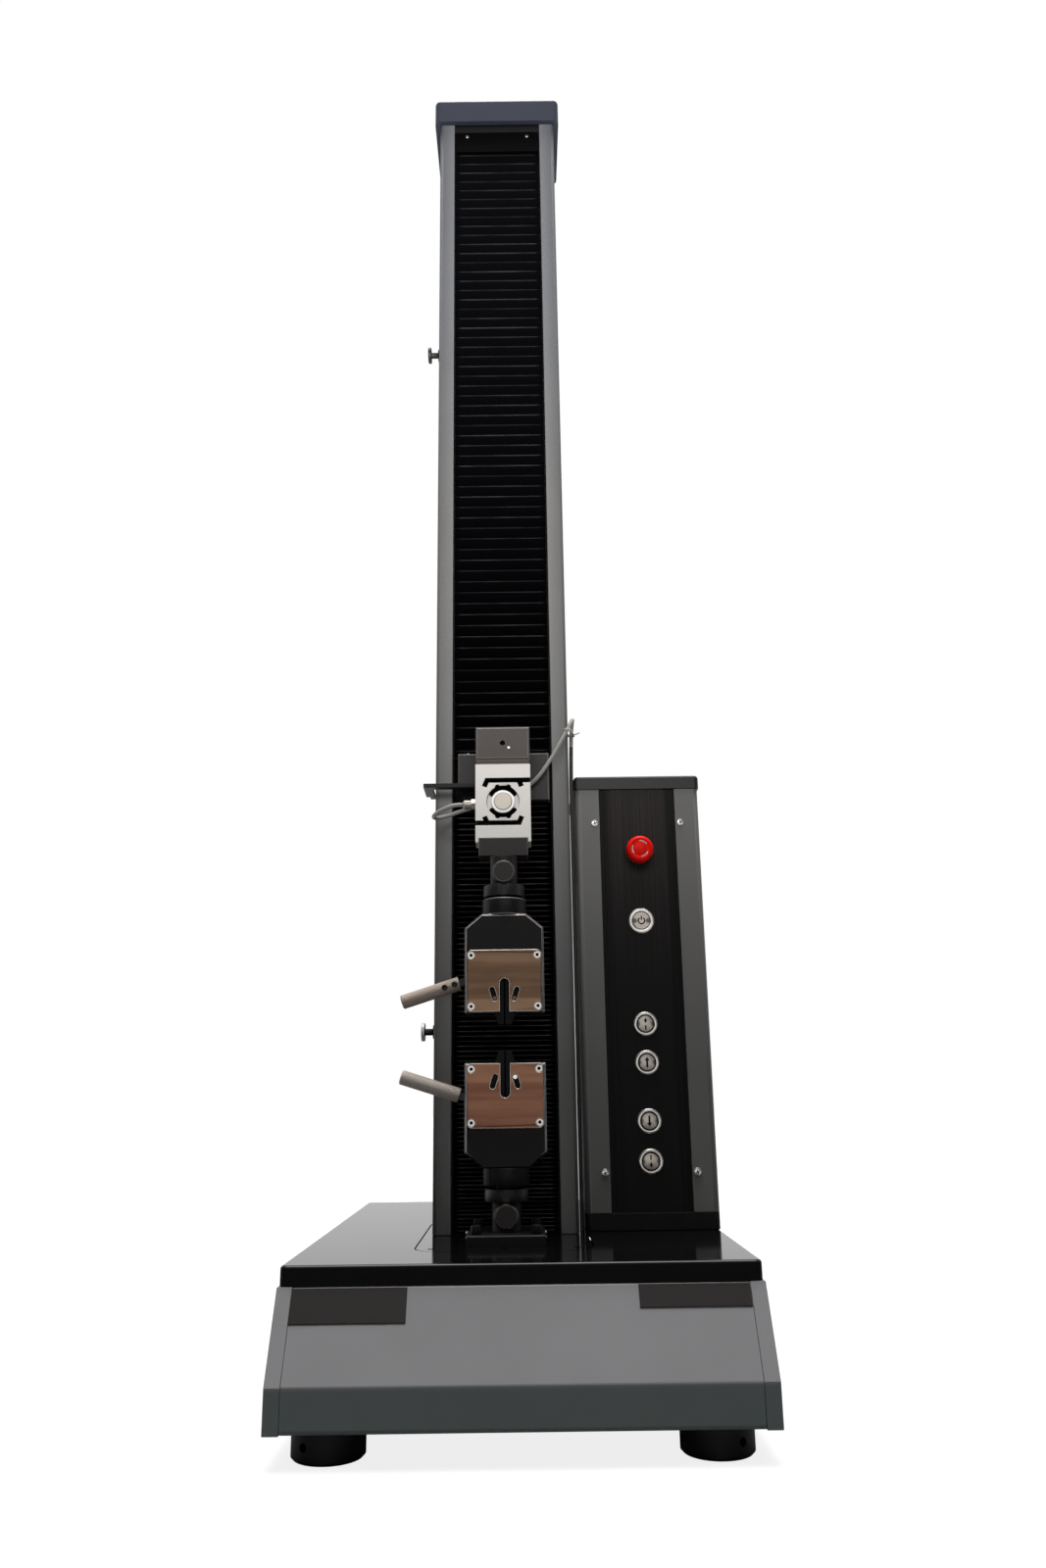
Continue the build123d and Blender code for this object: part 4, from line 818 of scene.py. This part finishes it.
class MACHINE_OT_screws(bpy.types.Operator):
    """Set the screws on the grip covers, the tower and the bellows, and the ends of the jaws' pins"""

    bl_idname = "machine.screws"
    bl_label = "Small screws and pin ends"

    def execute(self, context):
        for place, body, up in (("upper", "crosshead", 1), ("lower", "frame", -1)):
            for column_name, column in (("left", -1), ("right", 1)):
                for row_name, row in (("in", -1), ("out", 1)):
                    height = GRIP_MIDDLE + up * (54.5 + row * 24.8)
                    spot = (AXIS_X + column * 32.6, COVER_FRONT + 2.9, height)
                    self.socket_screw(f"{place}_cover_screw_{column_name}_{row_name}", spot, body)
        for body, side, up, finish in (
            ("upper_left_jaw", -1, 1, "pin"),
            ("upper_right_jaw", 1, 1, "pin"),
            ("lower_right_jaw", 1, -1, "screw"),
        ):
            bm = turned([(2.1, 0.0), (2.0, 0.25), (0.0, 0.25)])
            aim(bm, (AXIS_X + side * 9.5, COVER_FRONT + 0.35, GRIP_MIDDLE + up * 37.3), FORWARD)
            finish_piece(bm, f"{body}_pin_end", finish, body)
        for place, x, spread, y, heights, radius, height in (
            ("tower", TOWER_X, 46.9, TOWER_FRONT, (DECK + 419.6, DECK + 55.5), 4.0, 2.2),
            ("bellows", COLUMN_X, 38.5, BELLOWS_FRONT + 1.1, (BELLOWS_TOP - 6.5, DECK + 2.0), 2.0, 1.0),
        ):
            for side_name, side in (("left", -1), ("right", 1)):
                for row_name, z in zip(("top", "bottom"), heights):
                    spot = (x + side * spread, y, z)
                    self.cross_screw(f"{place}_screw_{side_name}_{row_name}", spot, radius, height)
        self.pan_head("plate_screw", (-52.4, -74.0, 635.25), "crosshead", 2.4, 1.8, UPWARD)
        self.pan_head("holder_screw", (AXIS_X + 6.4, -133.0, 625.6), "crosshead", 1.7, 1.0)
        return {"FINISHED"}

    def socket_screw(self, name, spot, body):
        profile = [(3.3, 0.0), (3.3, 2.4), (3.0, 2.8), (1.9, 2.8), (1.8, 2.6), (1.8, 0.9), (0.0, 0.9)]
        bm = turned(profile)
        aim(bm, spot, FORWARD)
        finish_piece(bm, name, "screw", body)
        # The hex socket is a dark hexagon of painted shade over the head's hollow.
        bm = cut_out([[polar(1.75, 60 * i) for i in range(6)]], 0.2, 1.0)
        aim(bm, spot, FORWARD)
        finish_piece(bm, name + "_socket", "mark", body, smooth=False)

    def pan_head(self, name, spot, body, radius, height, axis=FORWARD):
        profile = [(radius, 0.0), (radius, 0.35 * height), (0.85 * radius, 0.75 * height)]
        profile += [(0.55 * radius, 0.95 * height), (0.0, height)]
        bm = turned(profile)
        aim(bm, spot, axis)
        finish_piece(bm, name, "screw", body)

    def cross_screw(self, name, spot, radius, height):
        self.pan_head(name, spot, "frame", radius, height)
        reach, wide = 0.5 * radius, 0.13 * radius
        cross = [bar(reach, -wide, wide), bar(wide, -reach, reach)]
        # The cross recess is a dark cross of painted shade.
        bm = cut_out(cross, 0.06 * radius, height - 0.04 * radius)
        aim(bm, spot, FORWARD, math.radians(20))
        finish_piece(bm, name + "_recess", "mark", "frame", smooth=False)


class MACHINE_OT_controls(bpy.types.Operator):
    """Turn the buttons' discs, their rings and the stop head, and cut their signs"""

    bl_idname = "machine.controls"
    bl_label = "Button faces and signs"

    ARROWS = {
        "fast_up": (346.3, 1, True),
        "up": (307.0, 1, False),
        "down": (248.5, -1, False),
        "fast_down": (209.0, -1, True),
    }

    def execute(self, context):
        for name, (height, heading, double) in self.ARROWS.items():
            disc = [(8.0, -0.05), (8.0, 0.35), (7.7, 0.5), (0.0, 0.5)]
            self.face(name, height, disc, self.arrow(heading, double))
        disc = [(9.0, -0.05), (9.0, 0.3), (8.7, 0.5), (7.0, 0.5), (6.8, 0.2), (6.2, 0.2)]
        disc += [(6.0, 0.5), (0.0, 0.5)]
        sign = [arc_band(2.7, 4.2, 125, 415), bar(0.75, 0.7, 5.0)]
        self.face("power", POWER_HEIGHT, disc, sign)
        self.bezels()
        self.stop_head()
        return {"FINISHED"}

    def face(self, name, height, disc, sign):
        """A button's disc, turned from its profile, with a sign on it."""
        spot, body = (TOWER_X, BUTTON_FACE, height), f"{name}_button"
        bm = turned(disc)
        fan(bm)
        aim(bm, spot, FORWARD)
        finish_piece(bm, f"{name}_disc", "disc", body)
        bm = cut_out(sign, 0.12, 0.46)
        aim(bm, spot, FORWARD)
        finish_piece(bm, f"{name}_sign", "mark", body, smooth=False)

    def bezels(self):
        """The rings round the buttons, with a rounded face and a lip over each button's edge."""
        rings = bmesh.new()
        heights = [(height, 12.7, 9.3) for height, _, _ in self.ARROWS.values()]
        for height, outer, lip in heights + [(POWER_HEIGHT, 13.9, 9.6), (STOP_HEIGHT, 12.9, 10.5)]:
            profile = [(10.6, 0.0), (10.6, 2.1), (lip, 2.1), (lip + 0.1, 2.35), (lip + 0.5, 2.55)]
            profile += [(outer - 1.9, 2.6), (outer - 1.1, 2.45), (outer - 0.5, 2.0)]
            profile += [(outer - 0.1, 1.2), (outer, 0.0)]
            bm = turned(profile, 16)
            aim(bm, (TOWER_X, PANEL_FACE, height), FORWARD)
            ring = bpy.data.meshes.new("ring")
            bm.to_mesh(ring)
            bm.free()
            rings.from_mesh(ring)
            bpy.data.meshes.remove(ring)
        piece = finish_piece(rings, "bezel_rings", "bezel", "frame")
        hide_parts("button_bezels")

    def arrow(self, heading, double):
        """Outlines of an arrow; a double one has its shaft broken for the fast speed."""
        if double:
            shapes = [[(-1.9, 2.6), (1.9, 2.6), (0.0, 6.2)], bar(0.75, 0.9, 2.6), bar(0.75, -6.3, -1.5)]
        else:
            shapes = [[(-2.7, 1.7), (2.7, 1.7), (0.0, 5.4)], bar(1.0, -5.2, 1.7)]
        if heading < 0:
            shapes = [[(-x, -y) for x, y in shape] for shape in shapes]
        return shapes

    def stop_head(self):
        """The red head with a raised rim, and three bent arrows in the groove inside it."""
        spot = (TOWER_X, PANEL_FACE, STOP_HEIGHT)
        profile = [(5.3, 12.3), (5.3, 6.3), (8.0, 6.3), (8.0, 9.0), (13.2, 9.0), (14.1, 9.5), (14.4, 10.6)]
        profile += [(14.4, 17.4), (14.0, 19.4), (12.9, 21.0), (11.6, 21.7), (10.6, 21.9), (9.9, 21.6)]
        profile += [(9.5, 20.7), (7.6, 20.6), (7.2, 21.2), (6.6, 21.5), (0.0, 21.6)]
        bm = turned(profile, 16)
        aim(bm, spot, FORWARD)
        head = finish_piece(bm, "stop_head", "red", "stop_button_head")
        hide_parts("stop_button_head")
        bands = []
        for turn in (35, 155, 275):
            root, tip = turn + 46, turn + 66
            bands.append(arc_band(8.0, 9.1, turn, root))
            bands.append([polar(7.6, root), polar(9.5, root), polar(8.5, tip)])
        bm = cut_out(bands, 0.12, 20.6)
        aim(bm, spot, FORWARD)
        finish_piece(bm, "stop_twist_signs", "white", "stop_button_head", smooth=False)


class MACHINE_OT_fittings(bpy.types.Operator):
    """Lay the bare plates on the base's sloped front, and set the inlet's blades"""

    bl_idname = "machine.fittings"
    bl_label = "Bare plates and inlet blades"

    def execute(self, context):
        edge_y, edge_z, run, fall = -256.0, 126.7, 36.0, 67.2
        slope = math.atan2(run, fall)
        normal = Vector((0, -math.cos(slope), math.sin(slope)))
        down = Vector((0, -math.sin(slope), -math.cos(slope)))
        for name, x, width, height, drop in (
            ("left", -141.0, 95.0, 28.0, 15.4),
            ("right", 142.0, 91.5, 18.5, 10.6),
        ):
            bm = block((width, height, 0.9), 0.3)
            spot = Vector((x, edge_y, edge_z)) + down * drop + normal * 0.02
            settle(bm, spot, Matrix.Rotation(math.pi / 2 - slope, 4, "X"))
            finish_piece(bm, f"{name}_name_plate", "plate", "frame", smooth=False)
        for name, x, height in (("middle", -110.0, 4.0), ("left", -117.0, 0.0), ("right", -103.0, 0.0)):
            bm = block((2.0, 4.0, 11.0), 0.3)
            aim(bm, (x, 277.0, 75.5 + height - 2.0), (0, 1, 0))
            finish_piece(bm, f"inlet_blade_{name}", "bright", "frame", smooth=False)
        return {"FINISHED"}


class MACHINE_OT_cables(bpy.types.Operator):
    """Lay the load cell's cable to the tie, and its drop to the base"""

    bl_idname = "machine.cables"
    bl_label = "Load cell cable"

    def execute(self, context):
        cable = cord_along("load_cell_cable", CELL_CABLE, 5)
        cable.data.materials.append(materials["sheath"])
        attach(cable, "crosshead")
        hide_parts("cell_cable")
        self.drop()
        self.tie(Vector((56.3, -80.5, 661.4)), Vector((61.6, -58.2, 661.4)), 2.7, 1.0, 2.4)
        bm = block((1.0, 2.0, 6.5), 0.2)
        aim(bm, (64.9, -58.2, 662.0), (0.9, 0.0, 0.42))
        finish_piece(bm, "cable_tie_tail", "tie", "crosshead", smooth=False)
        return {"FINISHED"}

    def tie(self, first, second, inner, thickness, width):
        """A flat band round two strands at the same height."""
        run = (second - first).normalized()
        bm = bmesh.new()
        halves = []
        for strand, start in ((second, -85), (first, 95)):
            way = Matrix.Rotation(math.radians(start), 3, "Z") @ run
            corners = []
            for reach, lift in ((0, -1), (1, -1), (1, 1), (0, 1)):
                spot = strand + way * (inner + reach * thickness) + Vector((0, 0, lift * width / 2))
                corners.append(bm.verts.new(spot * MM))
            edges = [bm.edges.new(pair) for pair in zip(corners, corners[1:] + corners[:1])]
            swept = bmesh.ops.spin(
                bm, geom=corners + edges, cent=strand * MM, axis=UPWARD, angle=math.radians(170), steps=17
            )
            halves.append((edges, kept(swept["geom_last"], bmesh.types.BMEdge)))
        for here, there in zip(halves, reversed(halves)):
            bmesh.ops.bridge_loops(bm, edges=here[1] + there[0])
        finish_piece(bm, "cable_tie", "tie", "crosshead", smooth=False)

    def drop(self):
        """The strand down behind the tower's edge, as a tube whose place is baked into its mesh."""
        source = cord_along("cable_drop_line", CABLE_DROP, 4)
        bpy.context.view_layer.update()
        mesh = bpy.data.meshes.new_from_object(source.evaluated_get(bpy.context.evaluated_depsgraph_get()))
        bpy.data.objects.remove(source)
        mesh.materials.clear()
        mesh.materials.append(materials["drop"])
        for polygon in mesh.polygons:
            polygon.use_smooth = True
        strand = bpy.data.objects.new("cable_drop_strand", mesh)
        bpy.context.scene.collection.objects.link(strand)
        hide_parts("cable_drop")
        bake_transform(strand)


class MACHINE_OT_studio(bpy.types.Operator):
    """Set the floor, the sky, the lamp and the camera"""

    bl_idname = "machine.studio"
    bl_label = "Studio, lights and camera"

    def execute(self, context):
        settings = context.scene.machine_studio
        self.floor(context, settings.card)
        self.sky(context, settings.sky, settings.backdrop, settings.card)
        self.key_light(context, settings.key)
        self.camera(context)
        context.scene.view_settings.view_transform = "Standard"
        return {"FINISHED"}

    def floor(self, context, card):
        """A pale floor that the camera sees as white, with the object's shadow on it; under the base its
        glow is left out, a painted shadow over the real one.
        """
        bm = bmesh.new()
        bmesh.ops.create_grid(bm, x_segments=1, y_segments=1, size=12.0)
        mesh = bpy.data.meshes.new("floor")
        bm.to_mesh(mesh)
        bm.free()
        graph = Graph("floor_pale", (0.16, 0.16, 0.16), 0.9)
        _, (x, y, _) = graph.place()
        seen = graph.node("ShaderNodeLightPath")
        ends = y.soften(150.0, 400.0) + y.soften(-4000.0, -2000.0, card, 0.0)
        mirrored = seen.output("Is Glossy Ray") * ends
        across = x.size().soften(110.0, 190.0, 1.0, 0.0)
        # Under the base the floor's glow is left out in a soft patch: a painted shadow.
        under = across * y.soften(-190.0, -150.0) * y.soften(200.0, 280.0, 1.0, 0.0)
        glow = (seen + mirrored).least(1.0) * (1.0 - under)
        graph.set("Emission Color", graph.blend(glow, (0.0, 0.0, 0.0), (1.0, 1.0, 1.0)))
        graph.set("Emission Strength", 0.84)
        mesh.materials.append(graph.material)
        floor = bpy.data.objects.new("floor", mesh)
        context.scene.collection.objects.link(floor)

    def sky(self, context, level, backdrop, card):
        """Light from overhead, a backdrop that is white to the camera, and a card for the metals."""
        world = bpy.data.worlds.new("studio")
        context.scene.world = world
        world.use_nodes = True
        graph = Graph.of_tree(world.node_tree)
        split = graph.node("ShaderNodeSeparateXYZ", graph.node("ShaderNodeTexCoord"))
        y, z = (split.output(axis) for axis in "YZ")
        behind = y.soften(-0.1, 0.5)
        around = y.soften(-0.6, 0.2)
        soft = behind * backdrop + z.most(0.0).power(24.0) * level + 0.03
        seen = graph.node("ShaderNodeLightPath")
        mirrored = seen.output("Is Glossy Ray").most(seen.output("Is Transmission Ray"))
        front = y.soften(-0.97, -0.86, card, 0.0)
        shown = seen.most(mirrored * (around * 0.66 + front))
        surface = graph.node("ShaderNodeBackground", (1.0, 1.0, 1.0, 1.0), soft * (1.0 - shown) + shown)
        graph.node("ShaderNodeOutputWorld", surface)

    def key_light(self, context, power):
        """A soft box before the machine, turned up past its top."""
        data = bpy.data.lights.new("key", "AREA")
        data.energy = power
        data.shape = "RECTANGLE"
        data.size = 0.72
        data.size_y = 1.0
        lamp = bpy.data.objects.new("key", data)
        spot, target = Vector((0.0, -1.01, 1.01)), Vector((0.0, -0.15, 2.15))
        lamp.location = spot
        lamp.visible_camera = False
        lamp.rotation_euler = (target - spot).to_track_quat("-Z", "Y").to_euler()
        context.scene.collection.objects.link(lamp)

    def camera(self, context):
        """The photograph's view, from in front and low down."""
        data = bpy.data.cameras.new("camera")
        data.sensor_fit = "VERTICAL"
        data.sensor_height = 36.0
        data.lens = 26.04
        data.clip_start = 0.05
        data.clip_end = 50.0
        camera = bpy.data.objects.new("camera", data)
        yaw, pitch, roll = -0.0013, 0.2631, -0.0132
        ahead = Vector((-math.sin(yaw), math.cos(yaw), 0))
        side = Vector((math.cos(yaw), math.sin(yaw), 0))
        lift = -math.sin(pitch) * ahead + math.cos(pitch) * Vector(UPWARD)
        view = math.cos(pitch) * ahead + math.sin(pitch) * Vector(UPWARD)
        right = math.cos(roll) * side + math.sin(roll) * lift
        up = -math.sin(roll) * side + math.cos(roll) * lift
        turn = Matrix((right, up, -view)).transposed().to_4x4()
        camera.matrix_world = Matrix.Translation((0.00557, -1.26469, 0.28133)) @ turn
        context.scene.collection.objects.link(camera)
        context.scene.camera = camera


class MACHINE_PT_panel(bpy.types.Panel):
    """The machine's settings and the steps that dress it"""

    bl_idname = "MACHINE_PT_panel"
    bl_label = "Testing machine"
    bl_space_type = "VIEW_3D"
    bl_region_type = "UI"
    bl_category = "Testing machine"

    def draw(self, context):
        scene = context.scene
        for title, group, fields in (
            ("Finish", scene.machine_finish, ("edge", "grain", "column", "tower", "base", "cap", "stop")),
            ("Bellows", scene.machine_bellows, ("crease", "upper_pleats", "lower_pleats")),
            ("Fittings", scene.machine_fitting, ("segments",)),
            ("Studio", scene.machine_studio, ("key", "sky", "backdrop", "card")),
        ):
            box = self.layout.box()
            box.label(text=title)
            for field in fields:
                box.prop(group, field)
        for operator in OPERATORS:
            self.layout.operator(operator.bl_idname)


SETTINGS = {
    "machine_finish": FinishSettings,
    "machine_bellows": BellowsSettings,
    "machine_fitting": FittingSettings,
    "machine_studio": StudioSettings,
}
OPERATORS = (
    MACHINE_OT_finishes,
    MACHINE_OT_bellows,
    MACHINE_OT_screws,
    MACHINE_OT_controls,
    MACHINE_OT_fittings,
    MACHINE_OT_cables,
    MACHINE_OT_studio,
)


register_classes, unregister_classes = bpy.utils.register_classes_factory(
    (*SETTINGS.values(), *OPERATORS, MACHINE_PT_panel)
)


def register():
    register_classes()
    for name, group in SETTINGS.items():
        setattr(bpy.types.Scene, name, bpy.props.PointerProperty(type=group))


def unregister():
    for name in SETTINGS:
        delattr(bpy.types.Scene, name)
    unregister_classes()


def main():
    register()
    bpy.ops.machine.finishes()
    bpy.ops.machine.bellows()
    bpy.ops.machine.screws()
    bpy.ops.machine.controls()
    bpy.ops.machine.fittings()
    bpy.ops.machine.cables()
    bpy.ops.machine.studio()


if __name__ == "__main__":
    main()
